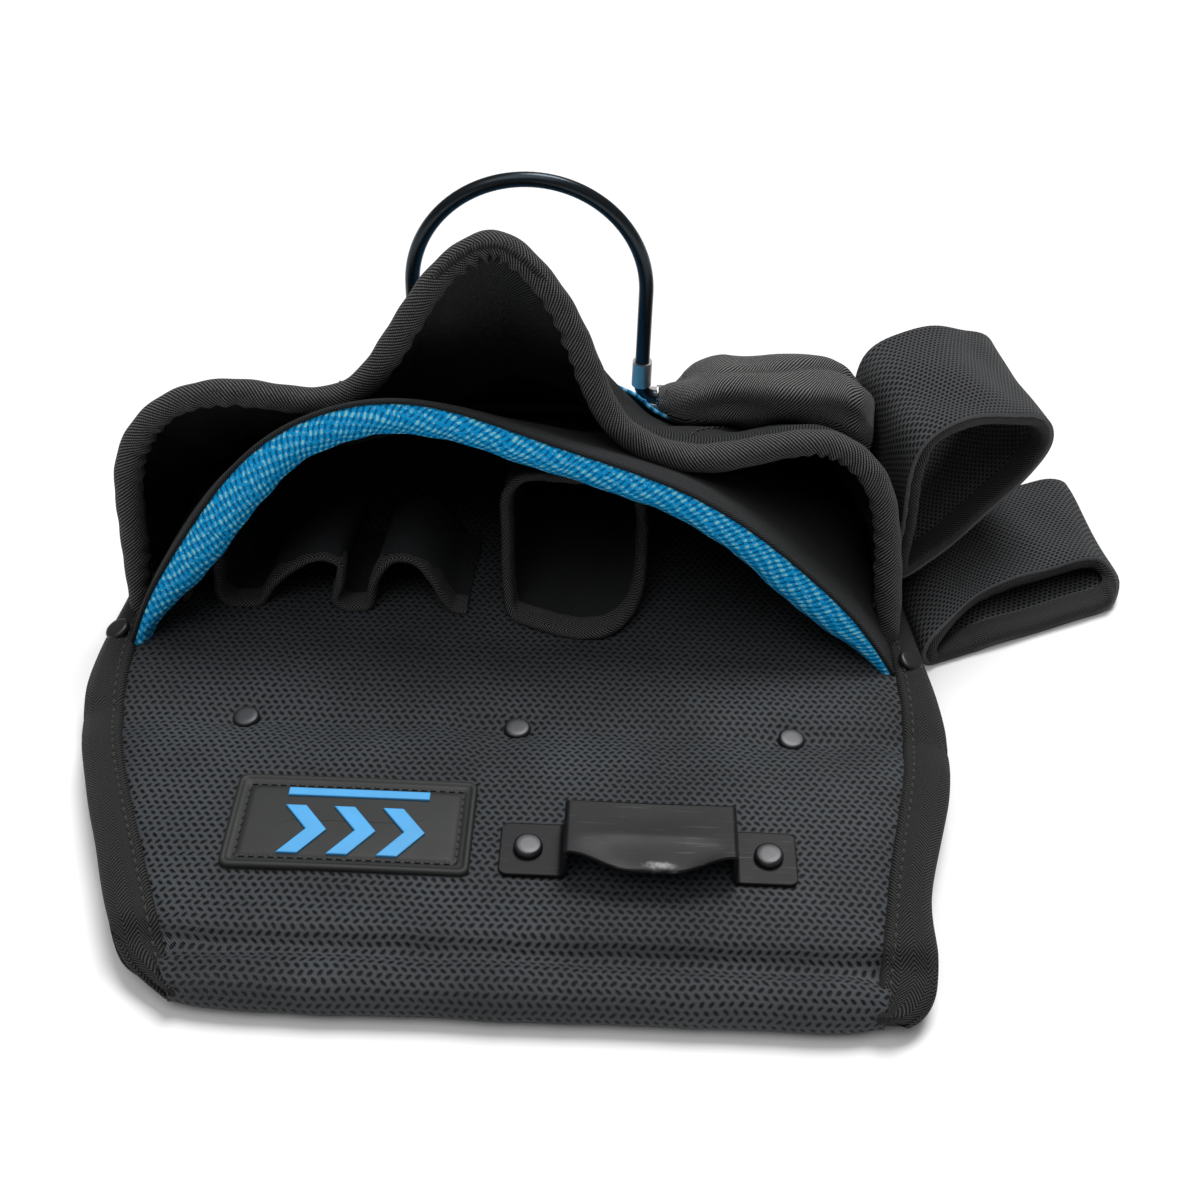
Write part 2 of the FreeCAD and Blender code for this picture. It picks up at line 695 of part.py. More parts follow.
os.makedirs("parts", exist_ok=True)
save(back_face(), "back_face")
save(rear_lining(), "rear_lining")
save(stiffener_board(), "stiffener_board")
save(seam_filler(), "tunnel_seam_filler")
save(side_binding(True), "side_binding_left")
save(side_binding(False), "side_binding_right")
save(rivet_row(), "tunnel_rivets")
save(washers([(x, 0.0) for x in TUNNEL_RIVETS]), "tunnel_rivet_washers")
save(corner_rivets(), "corner_rivets")
save(washers(CORNER_RIVETS), "corner_rivet_washers")
save(badge(), "badge")
save(badge_motif(), "badge_motif")
save(tape_clip(), "tape_clip")
save(clip_rivets(), "tape_clip_rivets")
save(main_pocket_wall(), "main_pocket_wall")
save(blue_facing(), "main_pocket_facing")
front_wall = front_pocket_wall()
save(front_wall, "front_pocket_wall")
save(front_piping(front_wall), "front_pocket_piping")
save(bottom_panel(), "bottom_panel")
save(pen_sleeves(), "pen_sleeves")
save(pen_sleeve_binding(), "pen_sleeve_binding")
save(tool_sleeve(), "tool_sleeve")
save(tool_sleeve_binding(), "tool_sleeve_binding")
save(hammer_bail(), "hammer_bail")
save(bail_collars(), "bail_collars")
save(bail_strap(), "bail_strap")
save(bail_bracket(-1), "bail_bracket_left")
save(bail_bracket(1), "bail_bracket_right")
save(bail_bracket_rivets(), "bail_bracket_rivets")
save(side_pocket(), "side_pocket")
save(side_pocket_base(), "side_pocket_base")
upper = mesh_loop(UPPER_LOOP, UPPER_AT, UPPER_TURN, UPPER_RUN)
save(clear_of_pouch(upper), "upper_mesh_loop")
save(clear_of_pouch(group(loop_tapes(UPPER_LOOP, UPPER_AT, UPPER_TURN, UPPER_RUN, upper))), "upper_loop_tape")
lower = mesh_loop(LOWER_LOOP, LOWER_AT, LOWER_TURN, LOWER_RUN)
save(clear_of_pouch(lower), "lower_mesh_loop")
save(clear_of_pouch(group(loop_tapes(LOWER_LOOP, LOWER_AT, LOWER_TURN, LOWER_RUN, lower))), "lower_loop_tape")
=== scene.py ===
import math

import bpy
import numpy as np
from mathutils import Matrix, Vector


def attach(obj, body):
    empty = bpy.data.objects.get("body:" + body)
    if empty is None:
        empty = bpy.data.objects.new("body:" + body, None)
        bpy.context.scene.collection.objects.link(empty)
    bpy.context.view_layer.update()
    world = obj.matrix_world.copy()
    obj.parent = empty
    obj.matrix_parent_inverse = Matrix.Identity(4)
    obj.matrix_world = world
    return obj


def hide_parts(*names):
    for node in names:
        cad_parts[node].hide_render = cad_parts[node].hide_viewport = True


# A fastener and tool pouch lying on its back. Shapes are worked out in millimetres in the pouch's
# own frame and turned into metres as each mesh is made. UVs are in millimetres too, so that every
# weave has its real thread size.
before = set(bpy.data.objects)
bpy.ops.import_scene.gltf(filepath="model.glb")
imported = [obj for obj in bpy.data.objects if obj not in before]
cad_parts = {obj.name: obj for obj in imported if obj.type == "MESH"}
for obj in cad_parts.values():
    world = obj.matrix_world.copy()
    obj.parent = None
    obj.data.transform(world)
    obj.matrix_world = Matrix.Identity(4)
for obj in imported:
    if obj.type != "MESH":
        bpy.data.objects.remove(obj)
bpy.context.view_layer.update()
MM = 0.001
SPLINE_STEPS = 40
Y_AXIS = np.array([[0.0, 1.0, 0.0]])


# ---- curves ----
def run_of(path):
    """Distance along path at each of its points."""
    return np.r_[0, np.cumsum(np.linalg.norm(np.diff(path, axis=0), axis=1))]


def along_run(values, run, places):
    """Rows of values, interpolated at places along run."""
    return np.stack([np.interp(places, run, column) for column in values.T], 1)


def spline_at(points, places):
    """Points on the natural cubic spline through points; places counts control points from 0."""
    pts = np.array(points, float)
    count = len(pts)
    knots = np.r_[0, np.cumsum(np.linalg.norm(np.diff(pts, axis=0), axis=1))]
    gap = np.diff(knots)[:, None]
    slope = np.diff(pts, axis=0) / gap
    system = np.eye(count)
    right = np.zeros_like(pts)
    for i in range(1, count - 1):
        system[i, i - 1:i + 2] = gap[i - 1, 0], 2 * (gap[i - 1, 0] + gap[i, 0]), gap[i, 0]
        right[i] = 6 * (slope[i] - slope[i - 1])
    bend = np.linalg.solve(system, right)
    places = np.asarray(places, float)
    k = np.clip(places.astype(int), 0, count - 2)
    d = (places - k)[:, None] * gap[k]
    first = slope[k] - gap[k] * (2 * bend[k] + bend[k + 1]) / 6
    return pts[k] + d * (first + d * (bend[k] / 2 + d * (bend[k + 1] - bend[k]) / (6 * gap[k])))


def even_places(points, count):
    """Control-point places that are evenly spaced along the spline."""
    fine = np.linspace(0, len(points) - 1, SPLINE_STEPS * len(points))
    run = run_of(spline_at(points, fine))
    return np.interp(np.linspace(0, run[-1], count), run, fine)


def smooth_path(points, count, closed=False):
    """Evenly spaced points on the spline; a closed path doesn't repeat its first point."""
    if not closed:
        return spline_at(points, even_places(points, count))
    wrapped = list(points[-3:]) + list(points) + list(points[:4])
    fine = np.linspace(3, 3 + len(points), SPLINE_STEPS * len(points))
    run = run_of(spline_at(wrapped, fine))
    places = np.interp(np.linspace(0, run[-1], count + 1)[:-1], run, fine)
    return spline_at(wrapped, places)


def unit(v):
    return v / np.maximum(np.linalg.norm(v, axis=-1, keepdims=True), 1e-9)


def step(low, high, value):
    """0 at low, 1 at high, with an even start and end between them."""
    t = np.clip((value - low) / (high - low), 0, 1)
    return t * t * (3 - 2 * t)


def bump(value, centre, width):
    return np.exp(-((value - centre) / width) ** 2)


def rough(a, b, size, seed):
    """Smooth unevenness between about -1 and 1 over a surface, from a few seeded waves."""
    rng = np.random.default_rng(seed)
    total = 0.0
    for i in range(7):
        turn = rng.uniform(0, math.pi)
        wave = 2 * math.pi / (size * rng.uniform(0.6, 1.7))
        way = a * math.cos(turn) + b * math.sin(turn)
        total = total + np.sin(way * wave + rng.uniform(0, 6.3))
    return total / 3.2


def tangents(path, closed):
    if closed:
        return unit(np.roll(path, -1, 0) - np.roll(path, 1, 0))
    return unit(np.gradient(path, axis=0))


def normals_of(grid, closed_u=False):
    """Unit normals of a grid of points: u cross v, as in surface."""
    if closed_u:
        du = np.roll(grid, -1, 1) - np.roll(grid, 1, 1)
    else:
        du = np.gradient(grid, axis=1)
    return unit(np.cross(du, np.gradient(grid, axis=0)))


# ---- meshes ----
def lengths(grid, axis, closed):
    """Running lengths of a grid's lines along an axis; a closed line ends with its whole girth."""
    gaps = np.linalg.norm(np.diff(grid, axis=axis), axis=2)
    if closed:
        last = grid[:, :1] - grid[:, -1:] if axis else grid[:1] - grid[-1:]
        gaps = np.concatenate([gaps, np.linalg.norm(last, axis=2)], axis)
    total = np.cumsum(gaps, axis)
    return np.concatenate([np.zeros_like(total[:, :1] if axis else total[:1]), total], axis)


def linked(name, data):
    made = bpy.data.objects.new(name, data)
    bpy.context.scene.collection.objects.link(made)
    return made


def mesh_object(name, points, faces, uvs, material):
    mesh = bpy.data.meshes.new(name)
    mesh.from_pydata((points * MM).tolist(), [], faces.tolist())
    layer = mesh.uv_layers.new(name="weave")
    layer.data.foreach_set("uv", uvs.astype(np.float32).ravel())
    mesh.polygons.foreach_set("use_smooth", np.ones(len(mesh.polygons), bool))
    mesh.materials.append(material)
    mesh.update()
    return linked(name, mesh)


def surface(name, grid, material, closed_u=False, closed_v=False, thickness=0.0, uv=None,
            flip=False, capped=False):
    """Mesh of a grid of points (rows along v, columns along u). Its normal is u cross v.

    It also keeps the cloth's area and its lengths across and along. A closed tube without a
    thickness is a folded strip, so its two faces count as one.
    """
    grid = np.asarray(grid, float)
    if capped:
        first, last = [np.broadcast_to(end.mean(1, keepdims=True), grid[:1].shape)
                       for end in (grid[:1], grid[-1:])]
        grid = np.concatenate([first, grid, last], 0)
    rows, cols = grid.shape[:2]
    r, c = np.meshgrid(np.arange(rows if closed_v else rows - 1),
                       np.arange(cols if closed_u else cols - 1), indexing="ij")
    r1 = (r + 1) % rows
    c1 = (c + 1) % cols
    corners = [(r, c, r, c), (r, c1, r, c + 1), (r1, c1, r + 1, c + 1), (r1, c, r + 1, c)]
    if flip:
        corners = corners[::-1]
    faces = np.stack([a * cols + b for a, b, _, _ in corners], -1).reshape(-1, 4)
    if uv is None:
        across = lengths(grid, 1, closed_u)
        along = lengths(grid, 0, closed_v)
        if closed_v:
            across = np.concatenate([across, across[:1]], 0)
        if closed_u:
            along = np.concatenate([along, along[:, :1]], 1)
        middle = across.shape[1] // 2
        across = across - across[:, middle:middle + 1]
        along = np.broadcast_to(along.mean(1, keepdims=True), across.shape)
        uv = np.stack([across, along], 2)
    uvs = np.stack([uv[a, b] for _, _, a, b in corners], -2).reshape(-1, 2)
    made = mesh_object(name, grid.reshape(-1, 3), faces, uvs, material)
    if thickness:
        solid = made.modifiers.new("thickness", "SOLIDIFY")
        solid.thickness = thickness * MM
        solid.offset = -1.0
    faces_of_cloth = 2.0 if closed_u and not thickness else 1.0
    made["area_mm2"] = float(area_of(grid, closed_u)) / faces_of_cloth
    made["across_mm"] = float(lengths(grid, 1, closed_u)[:, -1].max()) / faces_of_cloth
    made["along_mm"] = float(lengths(grid, 0, closed_v)[-1].max())
    return made


def area_of(grid, closed_u):
    if closed_u:
        grid = np.concatenate([grid, grid[:, :1]], 1)
    a = grid[1:, :-1] - grid[:-1, :-1]
    b = grid[:-1, 1:] - grid[:-1, :-1]
    return np.linalg.norm(np.cross(a, b), axis=2).sum()


def sweep(path, side, section):
    """Grid that carries section (columns: along side, then along tangent x side) along path."""
    along = tangents(path, False)
    side = unit(side - (side * along).sum(1, keepdims=True) * along)
    third = np.cross(along, side)
    section = np.asarray(section, float)
    if section.ndim == 2:
        section = np.broadcast_to(section, (len(path),) + section.shape)
    return path[:, None] + section[:, :, 0:1] * side[:, None] + section[:, :, 1:2] * third[:, None]


def full_turn(count):
    return np.linspace(0, 2 * math.pi, count, endpoint=False)


def oval(width, height, count, power=2.0):
    """Superellipse outline; a higher power is squarer."""
    turn = full_turn(count)
    c = np.cos(turn)
    s = np.sin(turn)
    return np.stack([width / 2 * np.sign(c) * np.abs(c) ** (2 / power),
                     height / 2 * np.sign(s) * np.abs(s) ** (2 / power)], 1)


def stitches(name, path, up, material, pitch=3.3, length=2.5, radius=0.34, lift=0.16, lean=0.0):
    """A run of sewn stitches along path, each arched a little out of the cloth."""
    path = np.asarray(path, float)
    run = run_of(path)
    count = max(2, int(run[-1] / pitch))
    mids = (np.arange(count) + 0.5) * run[-1] / count
    centre = along_run(path, run, mids)
    along = unit(along_run(tangents(path, False), run, mids))
    up = unit(along_run(np.broadcast_to(np.asarray(up, float), path.shape), run, mids))
    cross = unit(np.cross(up, along))
    along = unit(along + lean * cross)
    sides = 6
    turn = full_turn(sides)
    place = np.array([-0.5, -0.38, -0.15, 0.15, 0.38, 0.5])
    fat = np.array([0.35, 0.85, 1.0, 1.0, 0.85, 0.35]) * radius
    rise = lift - 1.6 * radius * (2 * place) ** 4
    ring = (centre[:, None, None] + along[:, None, None] * (place * length)[:, None, None]
            + up[:, None, None] * (rise[:, None] + fat[:, None] * np.sin(turn))[:, :, None]
            + cross[:, None, None] * (fat[:, None] * np.cos(turn))[:, :, None])
    rings = np.arange(count)[:, None, None] * len(place) + np.arange(len(place) - 1)[:, None]
    base = rings * sides
    j = np.arange(sides)
    k = (j + 1) % sides
    faces = np.stack([base + j, base + k, base + sides + k, base + sides + j], -1).reshape(-1, 4)
    uvs = np.tile([[0.0, 0.0], [1.0, 0.0], [1.0, 1.0], [0.0, 1.0]], (len(faces), 1))
    return mesh_object(name, ring.reshape(-1, 3), faces, uvs, material)


def lathe(name, profile, place, axis, material):
    """Turned piece: profile is a list of (radius, height) along axis from place."""
    profile = np.array(profile, float)
    axis = unit(np.array(axis, float))
    side = unit(np.cross(axis, [0.3, 0.9, 0.1]))
    third = np.cross(axis, side)
    turn = full_turn(48)
    ring = np.cos(turn)[:, None] * side + np.sin(turn)[:, None] * third
    grid = (np.array(place, float) + profile[:, 1, None, None] * axis
            + profile[:, 0, None, None] * ring[None])
    return surface(name, grid, material, closed_u=True)


# ---- materials ----
class Value:
    """A value that a shader works out. Values add, subtract, multiply and divide."""

    def __init__(self, paint, socket):
        self.paint, self.socket = paint, socket

    def __add__(self, other):
        return self.paint.math("ADD", self, other)

    def __sub__(self, other):
        return self.paint.math("SUBTRACT", self, other)

    def __mul__(self, other):
        return self.paint.math("MULTIPLY", self, other)

    def __truediv__(self, other):
        return self.paint.math("DIVIDE", self, other)


class Paint:
    """A short way to write one material's nodes."""

    def __init__(self, name, **sockets):
        self.material = bpy.data.materials.new(name)
        self.material.use_nodes = True
        self.tree = self.material.node_tree
        self.shader = self.tree.nodes["Principled BSDF"]
        for key, value in sockets.items():
            self.feed(self.shader.inputs[key.replace("_", " ")], value)

    def feed(self, socket, value):
        if isinstance(value, Value):
            self.tree.links.new(value.socket, socket)
        elif value is not None:
            socket.default_value = value

    def node(self, kind, values=(), output=0, **settings):
        made = self.tree.nodes.new(kind)
        for key, value in settings.items():
            setattr(made, key, value)
        for i, value in enumerate(values):
            self.feed(made.inputs[i], value)
        return Value(self, made.outputs[output])

    def math(self, operation, *values):
        return self.node("ShaderNodeMath", values, operation=operation)

    def fract(self, value):
        return self.math("FRACT", value)

    def far(self, a, b):
        return self.math("SQRT", a * a + b * b)

    def ramp(self, value, low, high, to_low=0.0, to_high=1.0):
        return self.node("ShaderNodeMapRange", (value, low, high, to_low, to_high),
                         interpolation_type="SMOOTHSTEP")

    def cloth(self):
        """The UV place, and its two distances in millimetres."""
        uv = self.node("ShaderNodeUVMap", uv_map="weave")
        return uv, *(self.node("ShaderNodeSeparateXYZ", (uv,), i) for i in (0, 1))

    def space(self):
        """The place in the object's own frame, in metres."""
        return self.node("ShaderNodeTexCoord", output="Object")

    def noise(self, vector, scale, detail=3.0, rough=0.6):
        return self.node("ShaderNodeTexNoise", (vector, None, scale, detail, rough), "Fac")

    def wave(self, value, pitch):
        """0 to 1 and back over each pitch."""
        return self.math("SINE", value * (2 * math.pi / pitch)) * 0.5 + 0.5

    def mix(self, share, first, second):
        made = self.tree.nodes.new("ShaderNodeMix")
        made.data_type = "RGBA"
        self.feed(made.inputs[0], share)
        for i, color in ((6, first), (7, second)):
            self.feed(made.inputs[i], color if isinstance(color, Value) else (*color, 1.0))
        return Value(self, made.outputs[2])

    def finish(self, color, height=None, depth=0.2, strength=0.7, roughness=None):
        """Closes the material; height is a bump of depth millimetres."""
        self.feed(self.shader.inputs["Base Color"], color)
        if height is not None:
            lift = self.tree.nodes.new("ShaderNodeBump")
            self.feed(lift.inputs["Strength"], strength)
            self.feed(lift.inputs["Distance"], depth * MM)
            self.feed(lift.inputs["Height"], height)
            self.tree.links.new(lift.outputs[0], self.shader.inputs["Normal"])
        self.feed(self.shader.inputs["Roughness"], roughness)
        return self.material


DUST = (0.11, 0.105, 0.10)


def aged(p, color, amount):
    """Lets a little dust and lint lie on a dark cloth, in soft patches and fine specks."""
    patch = p.ramp(p.noise(p.space(), 16.0, 4.0), 0.50, 0.80, 0.0, 0.16 * amount)
    speck = p.ramp(p.noise(p.space(), 1500.0, 1.0), 0.74, 0.80, 0.0, 0.55 * amount)
    return p.mix(p.math("MAXIMUM", patch, speck), color, DUST)


def scaled(color, share):
    return [share * x for x in color]


def ballistic_cloth(name, dark, light, pitch=2.6, row=2.15):
    """Heavy dobby weave: pale slanting floats round dark, leaning pits in staggered rows."""
    p = Paint(name, Roughness=0.55, Sheen_Weight=0.02, Sheen_Roughness=0.4, Specular_IOR_Level=0.25)
    uv, u, v = p.cloth()
    drift = p.noise(uv, 0.05, 2.0) * 2.4 - 1.2
    sway = p.noise(uv, 0.22, 2.0) * 1.1 - 0.55
    rows = (v + drift) / row
    odd = p.math("FLOORED_MODULO", p.math("FLOOR", rows), 2.0)
    a = (p.fract((u + sway) / pitch + odd * 0.5) - 0.5) * (odd * -2.0 + 1.0)
    b = p.fract(rows) - 0.5
    far = p.far((a + b) / 0.62, (a - b * 0.75) / 0.30) * 0.96
    uneven = p.noise(uv, 0.8, 2.0) * 0.7 - 0.35
    pit = p.ramp(far + uneven, 0.55, 1.20, 1.0, 0.0)
    ply = p.wave(u - v * (pitch / row), pitch / 3)
    shade = ply * 0.62 + p.noise(uv, 1.7, 2.0) * 0.38
    tone = p.ramp(p.noise(uv, 0.016, 2.0), 0.32, 0.68, 0.55, 1.15)
    cloth = p.mix(shade * tone, scaled(light, 0.16), light)
    return p.finish(aged(p, p.mix(pit, cloth, dark), 0.25), ply * 0.3 - pit, 0.55, 0.9)


def twill(name, dark, light, pitch, column=0.0, slope=1.0, fuzz=0.0, painted_shade_mm=0.0):
    """Diagonal ribs; with a column width the diagonals turn back at each column: herringbone.

    Fuzz adds loose hair. A fade paints shade in: the cloth darkens to that many millimetres down
    its length, for the shade deep inside a pocket.
    """
    p = Paint(name, Roughness=0.78, Sheen_Weight=0.02, Sheen_Roughness=0.45,
              Specular_IOR_Level=0.18)
    uv, u, v = p.cloth()
    fold = p.math("PINGPONG", u + 400 * column, column) if column else u
    rib = p.wave(fold * slope + v + p.noise(uv, 0.35, 2.0) * 0.5, pitch)
    cross = p.wave(fold * -slope + v, pitch * 0.8)
    weave = rib * (cross * 0.4 + 0.6)
    shade = p.math("POWER", weave, 1.8) * (p.noise(uv, 1.1, 3.0) * 1.6 + 0.3)
    if fuzz:
        shade = shade + p.ramp(p.noise(p.space(), 900.0, 4.0, 0.75), 0.45, 0.75, 0.0, fuzz)
    # Painted shade: the cloth is darkened away from its first edge, for the shade inside a pocket.
    if painted_shade_mm:
        shade = shade * p.ramp(v, 2.0, painted_shade_mm, 1.0, 0.55)
    return p.finish(aged(p, p.mix(shade, dark, light), 0.25), weave, 0.22, 0.75)


def blue_cloth(name, low, high, pale, painted_highlight_band=(1e5, 2e5)):
    """Open dobby weave in two blues, with pale floats in short, broken, slanting dashes.

    The floats are at their palest up to the first of the two distances across, and dull past the
    second: a painted highlight along the band's lit upper edge.
    """
    p = Paint(name, Roughness=0.5, Specular_IOR_Level=0.12)
    uv, u, v = p.cloth()
    drift = p.noise(uv, 0.16, 2.0) * 2.6
    rib = p.wave(u * 0.62 + v + drift, 2.1)
    beads = p.wave(v * -0.35 + u + drift, 3.3)
    dash = p.ramp(rib, 0.30, 0.75) * p.ramp(beads, 0.15, 0.60)
    gap = p.ramp(rib, 0.45, 0.05) * p.ramp(beads, 0.85, 0.35)
    # The glint is the pale floats' painted highlight: in patches, strongest on the band's lit edge.
    glint = dash * p.ramp(p.noise(uv, 0.30, 4.0, 0.7), 0.42, 0.55) * p.ramp(u, *painted_highlight_band, 1.0, 0.3)
    color = p.mix(glint * 0.95, p.mix(gap * 0.8, high, low), pale)
    return p.finish(aged(p, color, 0.15), dash - gap, 0.35, 0.8)


def mesh_cloth(name, dark, light, pitch=2.2, row=1.45):
    """Knitted spacer mesh: small oval holes in staggered rows between rounded ribs."""
    p = Paint(name, Roughness=0.7, Sheen_Weight=0.02, Specular_IOR_Level=0.2)
    uv, u, v = p.cloth()
    rows = v / row
    shift = p.math("MODULO", p.math("FLOOR", rows), 2.0) * 0.5
    far = p.far(p.fract(u / pitch + shift) - 0.5, (p.fract(rows) - 0.5) * math.sqrt(0.85))
    hole = p.ramp(far, 0.24, 0.42, 1.0, 0.0)
    knit = p.wave(u * 0.4 + v, 0.42)
    shade = knit * 0.4 + p.noise(uv, 1.4, 2.0) * 0.7
    color = p.mix(hole, p.mix(shade, scaled(light, 0.5), light), dark)
    return p.finish(aged(p, color, 0.35), knit * 0.2 - hole, 0.6, 0.8)


def metal(name, base, worn, roughness, metallic, wear_and_highlight=False):
    """Steel with faint orange peel and scratches, bright where its wear attribute says: rubbed wear
    and painted highlight.
    """
    p = Paint(name, Metallic=metallic, Specular_IOR_Level=0.18)
    place = p.space()
    cloud = p.noise(place, 90.0, 4.0)
    peel = p.noise(place, 900.0, 2.0)
    stretched = p.node("ShaderNodeMapping", (place, (0, 0, 0), (0.2, 0.1, 0.6), (60, 1800, 900)))
    scratch = p.ramp(p.noise(stretched, 1.0, 2.0), 0.62, 0.72)
    rubbed_and_highlight = scratch * 0.08
    if wear_and_highlight:
        mark = p.node("ShaderNodeAttribute", output="Fac", attribute_name="wear_and_highlight")
        broken = p.ramp(p.noise(place, 260.0, 5.0, 0.7) * 0.55 + mark, 0.62, 1.0)
        # Where the attribute says, the steel is bright: rubbed wear, and a painted highlight.
        rubbed_and_highlight = p.math("MAXIMUM", rubbed_and_highlight, broken)
    color = p.mix(rubbed_and_highlight, p.mix(cloud, scaled(base, 0.75), scaled(base, 1.2)), worn)
    shine = cloud * 0.16 + (roughness - 0.08) - rubbed_and_highlight * 0.08
    return p.finish(color, peel - scratch * 0.6, 0.02, 0.5, shine)


def rubber(name, base, roughness):
    p = Paint(name, Specular_IOR_Level=0.4)
    cloud = p.noise(p.space(), 70.0, 4.0)
    grain = p.noise(p.space(), 1400.0, 3.0)
    color = p.mix(cloud, scaled(base, 0.8), scaled(base, 1.2))
    return p.finish(aged(p, color, 0.4), grain, 0.05, 0.5, cloud * 0.2 + (roughness - 0.1))


def thread(name, dark, light):
    p = Paint(name, Roughness=0.6, Sheen_Weight=0.1)
    twist = p.noise(p.space(), 1100.0, 2.0)
    return p.finish(p.mix(twist, dark, light), twist, 0.08, 0.6)


def grey(tone):
    return (tone,) * 3


BALLISTIC = ballistic_cloth("ballistic_weave", (0.0005, 0.0006, 0.0007), (0.088, 0.097, 0.106))
LINING = twill("black_canvas", grey(0.0006), (0.052, 0.055, 0.058), 0.95, fuzz=0.1)
# The pocket walls have shade painted in, darker down from each rim.
POCKET_WALL_PAINTED_SHADE = twill("pocket_canvas", grey(0.0004), (0.070, 0.073, 0.077), 0.95, fuzz=0.1, painted_shade_mm=30.0)
TAPE = twill("twill_tape", grey(0.0008), (0.064, 0.063, 0.062), 1.15, column=3.8, slope=1.1)
# A lighter copy of the same twill tape for the sleeves: painted light against the pocket's shade.
SLEEVE_TAPE_PAINTED_LIGHT = twill("sleeve_tape", grey(0.0008), (0.15, 0.148, 0.145), 1.15, column=3.8, slope=1.1)
FINE = twill("black_twill", grey(0.0008), (0.165, 0.165, 0.167), 1.15, slope=-0.8)
SIDE = twill("side_twill", grey(0.001), (0.26, 0.258, 0.255), 1.0, slope=-0.8)
MESH = mesh_cloth("black_mesh", grey(0.0003), (0.082, 0.085, 0.090))
# The facing's floats get a painted highlight over its first 7 to 11 mm across, its lit upper edge.
BLUE = blue_cloth("blue_facing", (0.0, 0.10, 0.32), (0.001, 0.42, 0.92), (0.36, 0.88, 1.0),
                  painted_highlight_band=(7.0, 11.0))
WEBBING = blue_cloth("blue_webbing", (0.01, 0.16, 0.36), (0.03, 0.32, 0.62), (0.25, 0.62, 0.88))
# The clip's worn colour stands for rubbed wear and for the painted highlight on its lip.
STEEL = metal("black_steel", (0.006, 0.006, 0.007), (0.46, 0.45, 0.44), 0.44, 0.0, wear_and_highlight=True)
GUNMETAL = metal("gunmetal", (0.030, 0.038, 0.045), grey(0.10), 0.28, 0.8)
CAPS = metal("dark_metal", (0.060, 0.060, 0.063), grey(0.20), 0.42, 0.9)
BRIGHT = metal("bright_steel", (0.40, 0.40, 0.39), grey(0.65), 0.42, 0.9)
PATCH = rubber("badge_rubber", (0.011, 0.012, 0.011), 0.6)
MOTIF = rubber("badge_blue", (0.06, 0.34, 0.68), 0.5)
THREAD = thread("black_thread", grey(0.002), grey(0.03))
BLUE_THREAD = thread("blue_thread", (0.01, 0.16, 0.40), (0.03, 0.28, 0.58))
FOAM = rubber("foam_board", grey(0.03), 0.8)


# ---- placing pieces ----
def ride(piece, body, nodes=()):
    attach(piece, body)
    if nodes:
        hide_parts(*nodes)
    return piece


def sew(name, path, up, slot, *sizes, paint=THREAD, body="pouch"):
    """Stitches that ride the body of the cloth they are sewn to."""
    return ride(stitches(name, path, up, paint, *sizes), body, ())


def sheet(piece, with_pieces=()):
    """Works out the flat size that a cloth piece was cut to, from its own surface; the size is not
    kept, and the piece comes back as it was.
    """
    wide = piece["across_mm"] * MM
    long = piece["along_mm"] * MM
    area = min(piece["area_mm2"] * MM * MM, wide * long)
    return piece


# ---- the back panel ----
# Outlines are (x, y) from the near end to the far one. PROFILE is (y, z) over the panel's face,
# down into the tunnel's seam, over the belt end and round under it.
FAR_END = 158.0
PANEL_TOP = 14.0
EDGE_LEFT = [(-83, -102.3), (-90, -97.5), (-98, -91), (-103.5, -83), (-112, -62), (-128, -19),
             (-135, 12), (-134, 45), (-128, 100), (-123, FAR_END)]
EDGE_RIGHT = [(106, -102.3), (113, -100.5), (118, -96.5), (122, -70), (130, -34), (136, -2),
              (134, 32), (127, 90), (121, FAR_END)]
SEAM_LEFT = [(-82, -104), (-104, -50), (-120, -4), (-124, 30), (-118, 95), (-113, FAR_END)]
SEAM_RIGHT = [(104, -104), (113, -50), (122, -4), (123, 30), (117, 95), (111, FAR_END)]
PROFILE = [(FAR_END, 13.4), (120, 13.7), (60, 14.0), (26, 14.3), (12, 14.0), (4, 12.9), (0, 12.2),
           (-4, 12.9), (-11, 14.8), (-26, 16.3), (-45, 16.8), (-66, 16.8), (-78, 16.4),
           (-83.5, 15.4), (-86.8, 12.2), (-88.6, 11.6), (-92, 13.0), (-96, 13.2), (-99.8, 11.2),
           (-101.9, 7.6), (-102.4, 4.5), (-100.6, 1.4), (-96, 0.5)]
FACE_POINTS = 16
RIVETS_X = (-82.0, 2.0, 87.0)
CORNERS = ((-129.8, 35.0), (127.2, 35.0))
CLIP_FEET = (8.5, 76.5)
CLIP_Y = -54.5


def outline_x(outline, y):
    path = smooth_path(outline, 400)
    return np.interp(y, path[:, 1], path[:, 0])


def seam_lines(y, margin=0.0):
    """The two side seams' x at y, moved outward by margin."""
    return outline_x(SEAM_LEFT, y) - margin, outline_x(SEAM_RIGHT, y) + margin


def face_height(y):
    path = smooth_path(PROFILE[:FACE_POINTS], 300)[::-1]
    return np.interp(y, path[:, 0], path[:, 1])


